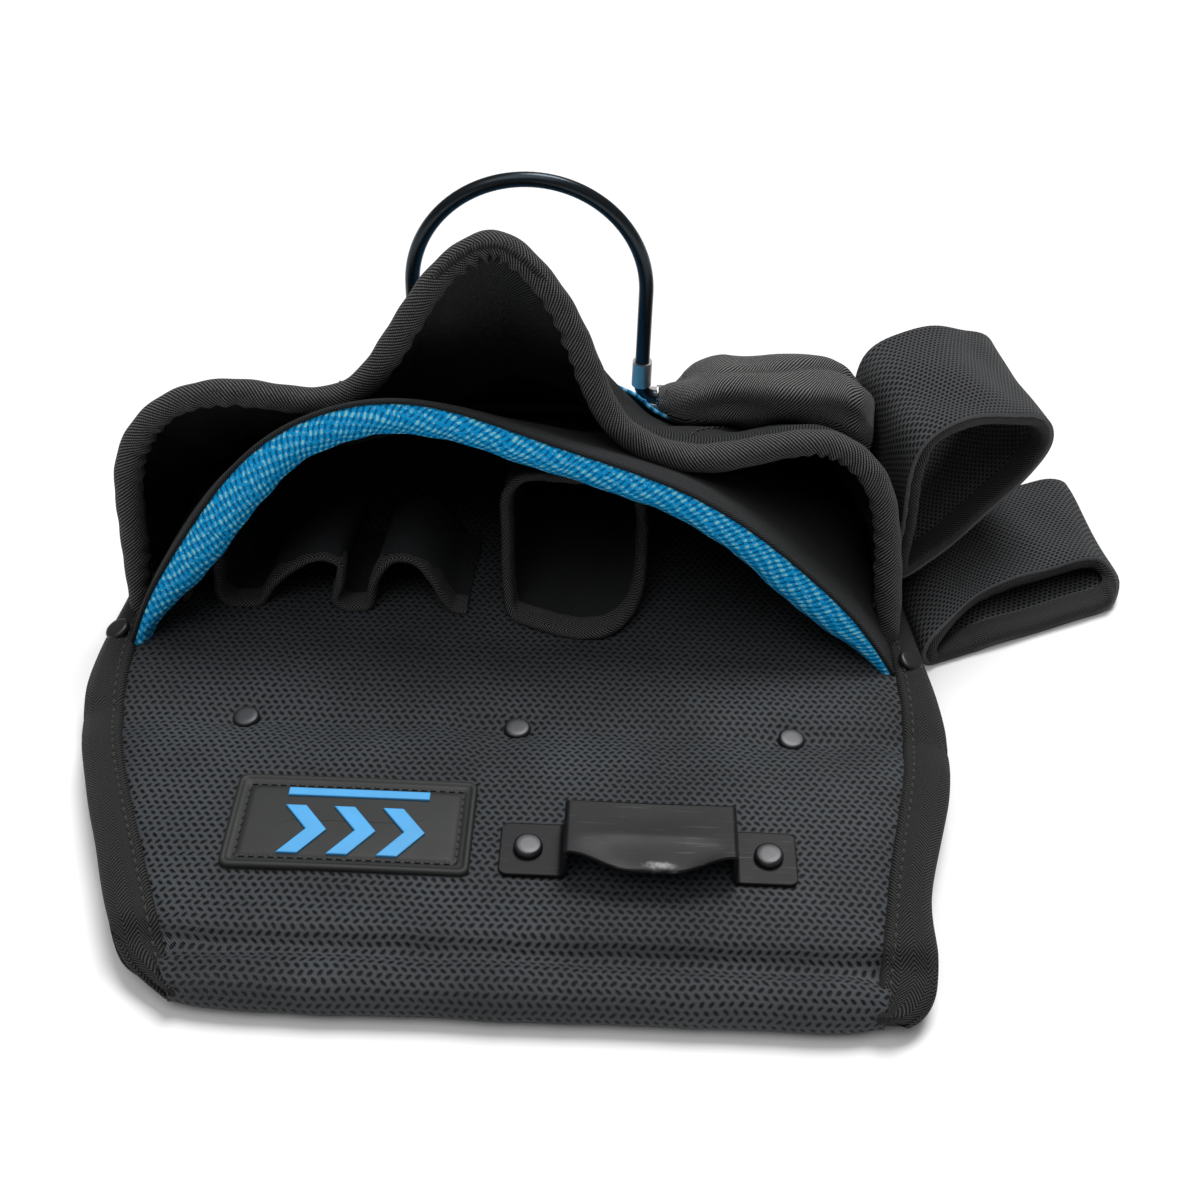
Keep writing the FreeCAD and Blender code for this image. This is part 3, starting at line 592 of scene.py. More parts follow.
def panel_lift(x, y):
    """How far the cloth stands off its smooth profile: seams, rivet pull, slack and wrinkles."""
    left, right = seam_lines(y)
    edge = np.minimum(x - left, right - x)
    lift = -1.7 * np.exp(-np.maximum(edge, 0) / 4.5)
    tunnel = step(4, -30, y) * step(-104, -84, y)
    middle = np.sin(np.clip((x - left) / (right - left), 0, 1) * math.pi)
    lift = lift + tunnel * 0.7 * (middle ** 0.6 - 0.5)
    for foot in CLIP_FEET:
        lift = lift - 0.45 * np.exp(-((x - foot) / 11) ** 4 - ((y - CLIP_Y) / 12) ** 4)
    for rivet in RIVETS_X:
        far = np.hypot(x - rivet, y * 1.25)
        lift = lift - 1.5 * np.exp(-(far / 7.5) ** 2)
        turn = np.arctan2(y, x - rivet)
        lift = lift + 0.28 * np.sin(5 * turn + rivet) * np.exp(-((far - 12) / 9) ** 2)
    pull = bump(y, -12, 15) * np.sin((x + 0.45 * y) * 2 * math.pi / 27 + 0.7)
    lift = lift + 0.34 * pull + 0.30 * rough(x, y, 55, 3) + 0.10 * rough(x, y, 17, 4)
    near_seam = np.exp(-np.maximum(edge, 0) / 16)
    lift = lift + 0.32 * near_seam * np.sin((y + 0.5 * x) * 2 * math.pi / 15 + np.sin(y / 19))
    return lift


def panel():
    path = smooth_path(PROFILE, 330)
    under_end = np.arange(len(path)) > 300
    out = -unit(np.stack([-np.gradient(path[:, 1]), np.gradient(path[:, 0])], 1))
    left, right = seam_lines(np.clip(path[:, 0], -103.9, FAR_END), 2.0)
    x = left[:, None] + (right - left)[:, None] * np.linspace(0, 1, 230)
    lift = panel_lift(x, np.where(under_end, -101.0, path[:, 0])[:, None] + 0 * x)
    grid = np.stack([x, path[:, :1] + out[:, :1] * lift, path[:, 1:] + out[:, 1:] * lift], 2)
    uv = np.stack([x, run_of(path)[:, None] + 0 * x], 2)
    made = surface("back_panel_cloth", grid, BALLISTIC, thickness=2.2, uv=uv, flip=True)
    ride(made, "pouch", ["back_face"])
    sheet(made)


def back_board():
    """Foam and plastic stiffener between the two cloths, and the folded seam of the tunnel."""
    y = np.linspace(6, 156, 60)
    left, right = seam_lines(y, -2.0)
    turn = oval(1, 1, 40, 8.0)
    grid = np.zeros((60, 40, 3))
    grid[:, :, 0] = (left + right)[:, None] / 2 + (right - left)[:, None] * turn[:, 0]
    grid[:, :, 1] = y[:, None]
    grid[:, :, 2] = 6.6 + 6.6 * turn[:, 1] + 0.15 * rough(grid[:, :, 0], grid[:, :, 1], 40, 9)
    made = surface("back_board", grid, FOAM, closed_u=True, capped=True)
    ride(made, "pouch", ["stiffener_board"])
    path = np.stack([np.linspace(-116, 118, 120), np.full(120, -1.5), np.full(120, 6.0)], 1)
    path[:, 2] += 0.2 * np.sin(path[:, 0] / 7)
    seam = sweep(path, Y_AXIS, oval(9, 5.6, 24, 4.0))
    fold = surface("tunnel_seam_fold", seam, LINING, closed_u=True, capped=True)
    ride(fold, "pouch", ["tunnel_seam_filler"])


def rear_lining():
    """Cloth against the wearer, with a faint quilted seam round it."""
    y = np.linspace(-97, FAR_END, 150)
    left, right = seam_lines(y, 2.0)
    x = left[:, None] + (right - left)[:, None] * np.linspace(0, 1, 140)
    yy = y[:, None] + 0 * x
    edge = np.minimum(np.minimum(x - left[:, None], right[:, None] - x), FAR_END - yy)
    z = 0.3 + 1.1 * np.exp(-((edge - 9) / 1.6) ** 2) + 0.25 + 0.2 * rough(x, yy, 35, 12)
    for place in [(r, 0.0) for r in RIVETS_X] + list(CORNERS):
        z = z + 1.1 * np.exp(-(np.hypot(x - place[0], yy - place[1]) / 6) ** 2)
    grid = np.stack([x, yy, z], 2)
    made = surface("rear_lining_cloth", grid, BALLISTIC, thickness=1.2, flip=True)
    ride(made, "pouch", ["rear_lining"])
    sheet(made)


def tape_ring(points, count, start, side, y, lift=0.0):
    """One cross-section of a side tape, from points (distance outward, height)."""
    ring = smooth_path(points, count)
    return np.stack([start + side * ring[:, 0], np.full(count, y), ring[:, 1] + lift], 1)


def binding(side):
    """Herringbone tape folded over the panel's edge; below Y = -12 it parts round the tunnel."""
    name = "left" if side < 0 else "right"
    edge = EDGE_LEFT if side < 0 else EDGE_RIGHT
    seam = SEAM_LEFT if side < 0 else SEAM_RIGHT
    y = np.concatenate([np.linspace(-100.6, -90, 24)[:-1], np.linspace(-90, FAR_END, 185)])
    inner = outline_x(seam, y)
    width = np.maximum(np.abs(outline_x(edge, y) - inner), 1.0)
    wavy = 0.45 * np.sin(y / 9.5) + 0.3 * np.sin(y / 4.1 + side)
    near = step(-84, -102.2, y)
    closed = step(-16, -8, y)
    top = face_height(y) - 0.6 - 3.0 * near ** 1.5
    under = 10.6 - 3.4 * closed - 5.0 * near
    high = 2.9 + 4.2 * closed - 1.6 * near
    hem = [(-0.6, -2.2), (-0.3, 0.55), (1.1, 1.35), (2.3, 0.75), (3.6, 1.25)]
    upper, lower = [], []
    for i, w in enumerate(width):
        t, u = top[i], under[i]
        body = [(d, t + z) for d, z in hem if d < w * 0.4]
        body += [(0.45 * w, t + 1.5 + 0.25 * wavy[i]), (0.72 * w, t + 0.9 + 0.3 * wavy[i]),
                 (w - 1.6, t - 0.9), (w + 0.2 * wavy[i], t - 3.2),
                 (w + 0.25 * wavy[i], 0.45 * (t + u)), (w - 1.0, u + 0.4), (0.55 * w, u), (-0.4, u)]
        upper.append(tape_ring(body, 34, inner[i], side, y[i]))
        h = high[i]
        body = [(-0.4, 0.1), (0.5 * w, 0.0), (w - 1.4, 0.5), (w + 0.1 * wavy[i], 1.6),
                (w, 0.55 * h + 0.8), (w - 1.2, h), (0.5 * w, h), (-0.4, h)]
        lower.append(tape_ring(body, 26, inner[i], side, y[i] + 4.5 * near[i], 0.5 * near[i]))
    over = surface("side_tape_" + name, np.array(upper), TAPE, closed_u=True, flip=side > 0,
                   capped=True)
    below = surface("side_tape_under_" + name, np.array(lower), TAPE, closed_u=True, flip=side < 0,
                    capped=True)
    ride(over, "pouch", ["side_binding_" + name])
    ride(below, "pouch", ())
    line = np.stack([inner + side * 2.2, y, top + 1.0], 1)[10:-2]
    row = sew("side_tape_stitches_" + name, line, (0, 0, 1), "twill_tape", 3.4, 2.3, 0.36, 0.2)
    sheet(over, [below, row])


# ---- rivets, badge and tape clip ----
CAP_RADIUS = 4.2
CAP_HEIGHT = 1.9
WASHER = [(1.5, 1.1), (1.6, 0.6), (2.0, 0.05), (3.4, 0.0), (3.9, 0.3), (4.0, 0.8), (3.9, 1.0)]


def rivet_cap(name, node, i, place, lean, height=CAP_HEIGHT):
    """Domed cap of rivet i; the first of a set stands for the set's node."""
    shape = [(0.0, 1.02), (0.45, 1.02), (0.76, 1.0), (0.88, 0.93), (0.965, 0.72), (1.0, 0.42),
             (0.99, 0.12)]
    profile = [(CAP_RADIUS * r, height * h) for r, h in shape]
    profile += [(CAP_RADIUS * 0.93, -0.15), (CAP_RADIUS * 0.5, -0.4)]
    cap = lathe(f"{name}_{i + 1}", profile, place, lean, CAPS)
    ride(cap, "pouch", () if i else [node])


def panel_rivets():
    for i, x in enumerate(RIVETS_X):
        z = float(face_height(0.0) + panel_lift(np.array([x]), np.array([0.0]))[0]) + 0.55
        rivet_cap("tunnel_rivet", "tunnel_rivets", i, (x, 0, z), (0.05 * (i - 1), -0.06, 1.0))
    for i, (x, y) in enumerate(CORNERS):
        lean = (0.45 * (2 * i - 1), -0.1, 1.0)
        rivet_cap("corner_rivet", "corner_rivets", i, (x, y, 14.6), lean)
    for i, (x, y) in enumerate([(x, 0.0) for x in RIVETS_X] + list(CORNERS)):
        washer = lathe(f"rivet_washer_{i + 1}", WASHER, (x, y, 0.0), (0, 0, 1), CAPS)
        node = {0: ["tunnel_rivet_washers"], 3: ["corner_rivet_washers"]}.get(i, ())
        ride(washer, "pouch", node)


BADGE = (-77.5, -7.5, -65.0, -29.5)
CHANNEL = 3.9


def badge_point(x, y, lift):
    """A point lift above the panel's crowned face, where the badge lies."""
    return np.stack([x, y, 17.35 - 0.0011 * (y + 50) ** 2 - 0.00022 * (x + 42) ** 2 + lift], -1)


def rounded_frame(inset, radius, count=260):
    """Closed outline of the badge, moved in by inset, as (x, y)."""
    x0, x1, y0, y1 = BADGE
    x0, x1, y0, y1 = x0 + inset, x1 - inset, y0 + inset, y1 - inset
    arc = np.linspace(0, math.pi / 2, 9)
    points = []
    for cx, cy, start in ((x1 - radius, y1 - radius, 0), (x0 + radius, y1 - radius, 1),
                          (x0 + radius, y0 + radius, 2), (x1 - radius, y0 + radius, 3)):
        for a in arc + start * math.pi / 2:
            points.append((cx + radius * math.cos(a), cy + radius * math.sin(a)))
    points.append(points[0])
    points = np.array(points)
    run = run_of(points)
    return along_run(points, run, np.linspace(0, run[-1], count, endpoint=False))


def badge():
    """Moulded rubber patch: rounded border, sunk field with a stitched channel round it.

    Each ring of the patch is (inset, corner radius, lift).
    """
    rings = [(0.25, 2.6, -0.9), (0.0, 2.6, 0.2), (0.0, 2.6, 1.1), (0.35, 2.3, 1.65),
             (0.9, 1.9, 1.85), (1.5, 1.5, 1.8), (1.95, 1.2, 1.35), (2.4, 1.1, 1.2),
             (3.1, 1.0, 1.18), (3.5, 1.0, 0.85), (CHANNEL, 1.0, 0.78), (4.3, 1.0, 0.85),
             (4.7, 1.0, 1.15), (6, 1.0, 1.2), (9, 1.0, 1.2), (13, 1.0, 1.2), (17.7, 0.02, 1.2)]
    grid = []
    for inset, radius, lift in rings:
        ring = rounded_frame(inset, radius)
        grid.append(badge_point(ring[:, 0], ring[:, 1], lift))
    plate = surface("badge_patch", np.array(grid), PATCH, closed_u=True, flip=True)
    ride(plate, "pouch", ["badge"])
    line = rounded_frame(CHANNEL, 1.0)
    line = badge_point(line[:, 0], line[:, 1], 0.85)
    line = np.vstack([line, line[:1]])
    sew("badge_stitches", line, (0, 0, 1), "badge_rubber", 2.7, 2.0, 0.33, 0.25)
    motif = [[(x, -42), (x + 6, -42), (x + 13, -51), (x + 6, -60), (x, -60), (x + 7, -51)]
             for x in (-62.0, -48.0, -34.0)]
    motif.append([(-62, -35), (-21, -35), (-21, -38), (-62, -38)])
    for i, corners in enumerate(motif):
        made = raised_shape(f"badge_motif_{i + 1}", corners)
        ride(made, "pouch", () if i else ["badge_motif"])


def raised_shape(name, corners):
    """Flat moulded shape with softened upper edges, standing on the badge's field."""
    corners = np.array(corners, float)
    count = len(corners)
    back = unit(corners - np.roll(corners, 1, 0))
    ahead = unit(np.roll(corners, -1, 0) - corners)
    area = 0.5 * (np.cross(corners, np.roll(corners, -1, 0))).sum()
    turn = -1.0 if area < 0 else 1.0
    normal_back = np.stack([-back[:, 1], back[:, 0]], 1) * turn
    normal_ahead = np.stack([-ahead[:, 1], ahead[:, 0]], 1) * turn
    inward = normal_back + normal_ahead
    inward = inward / (1 + (normal_back * normal_ahead).sum(1, keepdims=True))
    points = []
    for inset, lift in ((0.0, 1.0), (0.0, 1.72), (0.12, 1.92), (0.35, 2.0)):
        ring = corners + inset * inward
        points.append(badge_point(ring[:, 0], ring[:, 1], lift))
    faces = []
    for level in range(3):
        for i in range(count):
            k = (i + 1) % count
            faces.append([level * count + i, level * count + k,
                          (level + 1) * count + k, (level + 1) * count + i])
    faces.append([3 * count + i for i in range(count)])
    if turn < 0:
        faces = [f[::-1] for f in faces]
    mesh = bpy.data.meshes.new(name)
    mesh.from_pydata((np.concatenate(points) * MM).tolist(), [], faces)
    mesh.uv_layers.new(name="weave")
    mesh.materials.append(MOTIF)
    return linked(name, mesh)


def bent_path(corners, radius, spacing):
    """Straight runs joined by tangent arcs, in a plane, as points that are spacing apart."""
    corners = np.array(corners, float)
    out = [corners[0]]
    for i in range(1, len(corners) - 1):
        back = unit(corners[i - 1] - corners[i])
        ahead = unit(corners[i + 1] - corners[i])
        half = math.acos(np.clip((back * ahead).sum(), -1, 1)) / 2
        reach = radius / math.tan(half)
        centre = corners[i] + unit(back + ahead) * radius / math.sin(half)
        first = corners[i] + back * reach
        last = corners[i] + ahead * reach
        for t in np.linspace(0, 1, 9):
            spoke = unit((1 - t) * (first - centre) + t * (last - centre))
            out.append(centre + radius * spoke)
    out.append(corners[-1])
    out = np.array(out)
    run = run_of(out)
    return along_run(out, run, np.linspace(0, run[-1], int(run[-1] / spacing)))


CLIP_ENDS = (0.5, 84.5)
CLIP_SIDES = (18.5, 67)
CLIP_STEEL = 1.3
CLIP_RISE = 10.5
CLIP_WIDTH = 19
CLIP_CORNER = 2.6


def tape_clip():
    """Pressed steel strap: flat riveted feet, upright sides, and a near lip dished outward."""
    z = 17.1 + CLIP_STEEL
    top = z + CLIP_RISE
    (start, end), (left, right) = CLIP_ENDS, CLIP_SIDES
    path = bent_path([(start, z), (left, z), (left, top), (right, top), (right, z), (end, z)], 1.35,
                     0.45)
    across = np.concatenate([[0.0, 0.02, 0.05], np.linspace(0.08, 0.92, 30), [0.95, 0.98, 1.0]])
    from_end = np.minimum(path[:, 0] - start, end - path[:, 0])
    short = np.clip(CLIP_CORNER - from_end, 0, CLIP_CORNER)
    trim = CLIP_CORNER - np.sqrt(np.maximum(CLIP_CORNER ** 2 - short ** 2, 0))
    y = (-64 + trim)[:, None] + (CLIP_WIDTH - 2 * trim)[:, None] * across
    x = path[:, :1] + 0 * y
    high = path[:, 1:] + 0 * y
    on_top = step(top - 2.5, top - 0.5, high)
    span = step(20, 37, x) * step(65.5, 49, x)
    dish = on_top * span * step(-56.5, -64.5, y) ** 1.2
    y = y - 3.8 * dish
    high = high - 2.6 * dish - 0.35 * on_top * bump(y, -50, 9) * bump(x, 43, 16)
    made = surface("tape_clip_strap", np.stack([x, y, high], 2), STEEL, thickness=CLIP_STEEL,
                   flip=True)
    edge = np.minimum(across, 1 - across)
    wear_and_highlight = 0.18 * np.exp(-edge / 0.012)[None] + 0.0 * x
    bend = bump(path[:, 1], top, 1.4) * (bump(path[:, 0], left, 1.6) + bump(path[:, 0], right, 1.6))
    # Painted highlight: a bright patch in the middle of the dished lip, besides the rubbed wear on
    # edges and bends.
    wear_and_highlight = wear_and_highlight + 0.12 * bend[:, None] + 0.66 * dish * bump(y, -65.8, 2.0) * bump(x, 45, 9)
    store = made.data.attributes.new("wear_and_highlight", "FLOAT", "POINT")
    store.data.foreach_set("value", wear_and_highlight.astype(np.float32).ravel())
    ride(made, "pouch", ["tape_clip"])
    for i, x in enumerate(CLIP_FEET):
        rivet_cap("tape_clip_rivet", "tape_clip_rivets", i, (x, CLIP_Y, z + 0.05),
                  (0.05 - 0.1 * i, -0.05, 1), 2.3)


# ---- pockets ----
# Rims are (x, z) from the left corner to the right one. SWELL is the front cloth's extra height
# halfway down, at each point of its rim.
MAIN_RIM = [(-125, 14), (-120, 27), (-106, 51), (-78, 84), (-36, 98), (6, 88), (58, 70), (93, 46),
            (110, 30), (122, 14)]
FRONT_RIM = [(-129, 14), (-130, 42), (-127, 71), (-110, 90), (-82, 94), (-57, 95), (-42, 112),
             (-28, 133), (-9, 143.5), (9, 131), (22, 108), (34, 86), (52, 79), (76, 83), (98, 85),
             (114, 73), (122, 50), (125, 14)]
SWELL = [0, 0, 2, 5, 6, 5, 2, 4, 16, 16, 4, 4, 12, 18, 16, 6, 0, 0]


MIDWAY = 100.0


def half_oval(half_width, height, count, swell=0.0):
    turn = math.pi * (1 - np.arange(count) / (count - 1))
    return np.stack([half_width * np.cos(turn), PANEL_TOP + height * np.sin(turn) + swell], 1)


class Pocket:
    """A pocket's cloth as a function of the place along its rim and the share of the way down.

    The rim stands at rim_y and leans by tilt. The cloth passes through the outline middle at
    MIDWAY and ends on the outline end; soft is where it has begun to leave the rim's shape.
    """

    def __init__(self, rim, rim_y, tilt, middle, end, soft, seed):
        self.rim, self.rim_y, self.tilt = rim, rim_y, tilt
        self.middle, self.end, self.soft, self.seed = middle, end, soft, seed

    def rim_line(self, places):
        flat = spline_at(self.rim, places)
        y = self.rim_y + self.tilt * (flat[:, 1] - PANEL_TOP)
        return np.stack([flat[:, 0], y, flat[:, 1]], 1)

    def rim_frame(self, places):
        """Rim points, unit inward normals in the mouth's plane, and the way into the pocket."""
        line = self.rim_line(places)
        into = unit(np.array([0, 1, -self.tilt]))
        inward = unit(np.cross(into[None], tangents(line, False)))
        return line, inward, into

    def cloth(self, places, down, slack=1.0):
        first = self.rim_line(places)[None]
        mid = spline_at(self.middle, places)[None]
        end = spline_at(self.end, places)[None]
        start = first[:, :, 1]
        y = start + (FAR_END - start) * down[:, None]
        t = np.clip((y - start) / (MIDWAY - start), 0, 1)
        ease = np.clip((self.soft - start) / (MIDWAY - start), 0.02, 0.8)
        lead, low, high = [0.5 * (d + np.sqrt(d ** 2 + 0.01)) for d in (t - ease, -ease, 1 - ease)]
        share = (lead - low) / (high - low)
        after = np.clip((y - MIDWAY) / (FAR_END - MIDWAY), 0, 1)
        x, z = [(first[:, :, a] * (1 - share) + mid[:, :, b] * share) * (1 - after)
                + end[:, :, b] * after for a, b in ((0, 0), (2, 1))]
        grid = np.stack([x, y, z], 2)
        run = 38.0 * np.asarray(places)[None, :]
        inside = np.sin(np.clip(down, 0, 1) * math.pi)[:, None] ** 0.6
        feet = np.clip((z - PANEL_TOP) / 14, 0, 1)
        uneven = 1.5 * rough(run, y, 62, self.seed) + 0.55 * rough(run, y, 24, self.seed + 1)
        lift = inside * feet * slack * uneven
        return grid + normals_of(grid) * lift[:, :, None]

    def levels(self, places, rows, heights):
        """Points of the cloth at each of the distances up the pouch in heights."""
        cloth = self.cloth(places, np.linspace(0, 1, rows))
        grid = [[np.interp(heights, column[:, 1], column[:, k]) for k in range(3)]
                for column in cloth.swapaxes(0, 1)]
        return np.array(grid).transpose(2, 0, 1)


MAIN = Pocket(MAIN_RIM, 30.5, 0.24, half_oval(120, 42, 10), half_oval(113, 10, 10), 50.0, 21)
FRONT = Pocket(FRONT_RIM, 45.0, 0.20, half_oval(125, 48, 18, SWELL), half_oval(118, 18, 18), 70.0,
               31)
DIVIDERS = (5.0, 12.0)


def main_pocket():
    places = even_places(MAIN_RIM, 300)
    down = np.concatenate([[0, 0.004, 0.012], np.linspace(0.03, 1, 90)])
    wall = surface("main_pocket_cloth", MAIN.cloth(places, down, 0.8), POCKET_WALL_PAINTED_SHADE, thickness=2.0)
    ride(wall, "pouch", ["main_pocket_wall"])
    line, inward, into = MAIN.rim_frame(places)
    roll = sweep(line + 0.5 * inward - 0.1 * into, inward, oval(1.7, 2.4, 10))
    hem = surface("main_pocket_hem", roll, LINING, closed_u=True, capped=True)
    ride(hem, "pouch", ())
    main_facing(places, line, inward, into)
    sheet(wall, [hem])


def main_facing(places, line, inward, into):
    """Padded blue band inside the rim, fullest at the left, that follows the cloth behind it."""
    share = np.linspace(0, 1, len(places))
    full = (0.36 + 0.64 * step(0.0, 0.10, share)) * (0.36 + 0.64 * step(1.0, 0.90, share))
    full = full * (1.0 + 0.36 * bump(share, 0.18, 0.10) + 0.18 * bump(share, 0.86, 0.08))
    full = full * (1.0 + 0.02 * np.sin(share * 61) + 0.015 * np.sin(share * 143 + 1))
    shape = smooth_path([(1.0, 2.0), (1.3, -1.0), (3.6, -2.5), (6.9, -2.0), (9.4, 1.2), (9.9, 7),
                         (9.2, 16), (7.4, 25), (5.0, 29.5), (3.0, 28), (2.2, 15)], 56, closed=True)
    deep = 0.48 * shape[:, 1] * (0.5 + 0.5 * np.minimum(full, 1))[:, None]
    section = np.stack([1.0 + (shape[:, 0] - 1.0) * full[:, None], deep], 2)
    near = MAIN.cloth(places, np.linspace(0, 0.25, 50), 0.0)
    grid = sweep(line, inward, section)
    for i in range(len(places)):
        behind = np.maximum(section[i, :, 1], 0) * into[1]
        for k in (0, 2):
            grid[i, :, k] += (np.interp(behind, near[:, i, 1] - near[0, i, 1], near[:, i, k])
                              - near[0, i, k] - behind * into[k] / into[1])
        grid[i] += inward[i] * (1.6 * step(0.5, 4, behind))[:, None]
    made = surface("main_pocket_facing_pad", grid, BLUE, closed_u=True, capped=True)
    ride(made, "pouch", ["main_pocket_facing"])


def front_pockets():
    places = even_places(FRONT_RIM, 640)
    down = np.concatenate([np.linspace(0.0, 0.05, 5)[:-1], np.linspace(0.05, 1, 120)])
    grid = FRONT.cloth(places, down)
    wall = surface("front_pocket_cloth", grid - normals_of(grid) * 2.2, POCKET_WALL_PAINTED_SHADE, thickness=1.8)
    ride(wall, "pouch", ["front_pocket_wall"])
    line, inward, into = FRONT.rim_frame(places)
    rolled_edge(line, inward)
    path = line + 8.0 * inward + 5.5 * into[None]
    seams = [sew("rolled_edge_stitches", path, inward * 0.2 + into * -1.0, "black_twill", 3.2, 2.2,
                 0.3, 0.4)]
    for i, place in enumerate(DIVIDERS):
        beside = np.linspace(place - 0.02, place + 0.02, 3)
        column = FRONT.cloth(beside, np.linspace(0.03, 0.99, 80))
        seam = (column - 1.95 * normals_of(column))[6:, 1]
        seams.append(sew(f"pocket_divider_stitches_{i + 1}", seam, (0, 0.1, 1), "black_canvas"))
    sheet(wall, seams)


def rolled_edge(line, inward):
    """Padded roll round the front pockets, gathered on its inner side at the three crests."""
    run = run_of(line)
    crest = bump(line[:, 0], -110, 24) + 1.5 * bump(line[:, 0], -8, 30) + bump(line[:, 0], 105, 20)
    crest = crest * (0.6 + 0.4 * np.sin(run / 7.7))
    turn = full_turn(30)
    radius = 4.25 + 0.18 * np.sin(run / 21) + 0.12 * np.sin(run / 8.3 + 1)
    along = run[:, None]
    phase = along / 0.95 + 1.3 * np.sin(along / 11) + 0.9 * np.sin(turn)
    gather = crest[:, None] * np.clip(np.cos(turn), 0, 1) * np.sin(phase)
    fat = radius[:, None] + 0.95 * gather + 0.12 * np.sin(along / 1.9 + 2 * turn)
    fat = fat + 0.16 * rough(along, 9 * turn[None], 26, 33)
    section = np.stack([4.3 + fat * np.cos(turn), 3.6 + 1.06 * fat * np.sin(turn)], 2)
    foot = (0.75 + 0.25 * step(0, 25, run)) * (0.75 + 0.25 * step(0, 25, run[-1] - run))
    grid = sweep(line, inward, section * foot[:, None, None])
    made = surface("front_pocket_rolled_edge", grid, FINE, closed_u=True, capped=True)
    ride(made, "pouch", ["front_pocket_piping"])


def bottom_panel():
    """End cloth of the pockets, a little puffed, with a corded seam round it."""
    arch = half_oval(119, 19, 120)
    share = np.linspace(0, 1, 14)
    grid = np.zeros((14, 120, 3))
    grid[:, :, 0] = arch[:, 0]
    grid[:, :, 2] = 0.6 + (arch[:, 1] - 0.6) * share[:, None]
    puff = np.sin(share * math.pi)[:, None] * np.sin(np.linspace(0, math.pi, 120)) ** 0.5
    grid[:, :, 1] = 159.2 + 1.7 * puff + 0.3 * rough(grid[:, :, 0], grid[:, :, 2], 26, 41)
    made = surface("bottom_cloth", grid, LINING, thickness=1.4, flip=True)
    ride(made, "pouch", ["bottom_panel"])
    rim = np.stack([arch[:, 0], np.full(120, 158.6), arch[:, 1]], 1)
    round_rim = sweep(rim, Y_AXIS, oval(3.4, 3.4, 14))
    cord = surface("bottom_seam_cord", round_rim, FINE, closed_u=True, capped=True)
    ride(cord, "pouch", ())
    sheet(made, [cord])


# ---- sleeves inside the main pocket ----
def facing_out(points, normals, axis=0):
    """The normals, turned round if they point at the middle of the points along axis."""
    away = ((points - points.mean(axis, keepdims=True)) * normals).sum()
    return -normals if away < 0 else normals


def puckers(run, depth, pitch, swell, shift=0.0):
    """Small waves along a taped edge, which come and go over swell."""
    return depth * np.sin(run / pitch) * (0.5 + 0.5 * np.sin(run / swell + shift))


def folded_tape(name, mouth, outward, into, band, pucker, paint, **ends):
    """Tape folded over a cloth's edge; band holds (outward, into) points of its section."""
    band = smooth_path(band, 40, closed=True)
    spread = (mouth[:, None] + outward[:, None] * (band[None, :, 0:1] + pucker[:, None, None])
              + into[:, None] * band[None, :, 1:2])
    return surface(name, spread, paint, closed_u=True, **ends)


PEN_LINE = [(-112, 15.5), (-110, 24), (-107, 33), (-102.5, 34), (-100, 27), (-99, 17),
            (-96.5, 14.6),
            (-91, 14.5), (-87.5, 15), (-85, 19), (-81.5, 25), (-76, 31), (-70, 35.5), (-64.5, 37),
            (-60.5, 35.5), (-59.3, 30), (-60.5, 22), (-60.8, 16.5), (-58.5, 14.7), (-54.5, 14.5),
            (-51.5, 15.2), (-50.2, 20), (-48.5, 28), (-45.5, 34), (-41, 37.8), (-36, 37.2),
            (-32, 33),
            (-28.5, 27), (-25.5, 20.5), (-22.5, 16), (-18, 14.6)]


PEN_BASE = 14.6


def pen_sleeves():
    """One strip sewn down between three arched sleeves, the left one narrow."""
    line = smooth_path(PEN_LINE, 380)[None]
    y = np.linspace(0, 42, 44)[:, None]
    deep = y / 42
    rise = line[:, :, 1] - PEN_BASE
    x = line[:, :, 0] + 1.8 * deep
    z = PEN_BASE + rise * (1 - 0.42 * deep ** 1.4) * (1 - 0.22 * np.exp(-y / 5.0))
    yy = 51 + 0.20 * rise + y
    z = z + 0.35 * rough(x, yy, 14, 51) * np.clip((z - 15) / 6, 0, 1)
    grid = np.stack([x, yy, z], 2)
    made = surface("pen_sleeve_cloth", grid, LINING, thickness=1.2)
    ride(made, "pouch", ["pen_sleeves"])
    mouth = grid[0]
    into = np.broadcast_to([0.0, 1.0, 0.0], mouth.shape)
    outward = unit(np.cross(tangents(mouth, False), into))
    outward = outward * np.sign(outward[:, 2].mean())
    band = [(-1.7, 7.4), (-1.8, 4), (-1.75, 1.0), (-1.1, -0.6), (0.2, -1.0), (0.95, 0.3),
            (1.1, 3.5), (1.05, 6.6), (0.55, 7.7), (-0.2, 7.8)]
    tape = folded_tape("pen_sleeve_tape", mouth, outward, into, band,
                       puckers(run_of(mouth), 0.16, 1.1, 11), SLEEVE_TAPE_PAINTED_LIGHT, capped=True)
    ride(tape, "pouch", ["pen_sleeve_binding"])
    sheet(made, [tape])


TOOL_MOUTH = [(-3, 50, 15.2), (4, 45.5, 15.0), (13, 42, 14.9), (22, 40.5, 15.2), (30, 42.5, 16.2),
              (36.5, 50, 18.5), (39.5, 61, 22.5), (40, 73, 29), (39, 82, 38), (35, 84, 46),
              (28, 79, 51.5),
              (19, 73, 55.5), (8, 71, 57.5), (-1, 70.2, 57.2), (-5.8, 69, 52), (-6.3, 65.5, 42),
              (-5.8, 60, 30), (-4.8, 54, 20)]


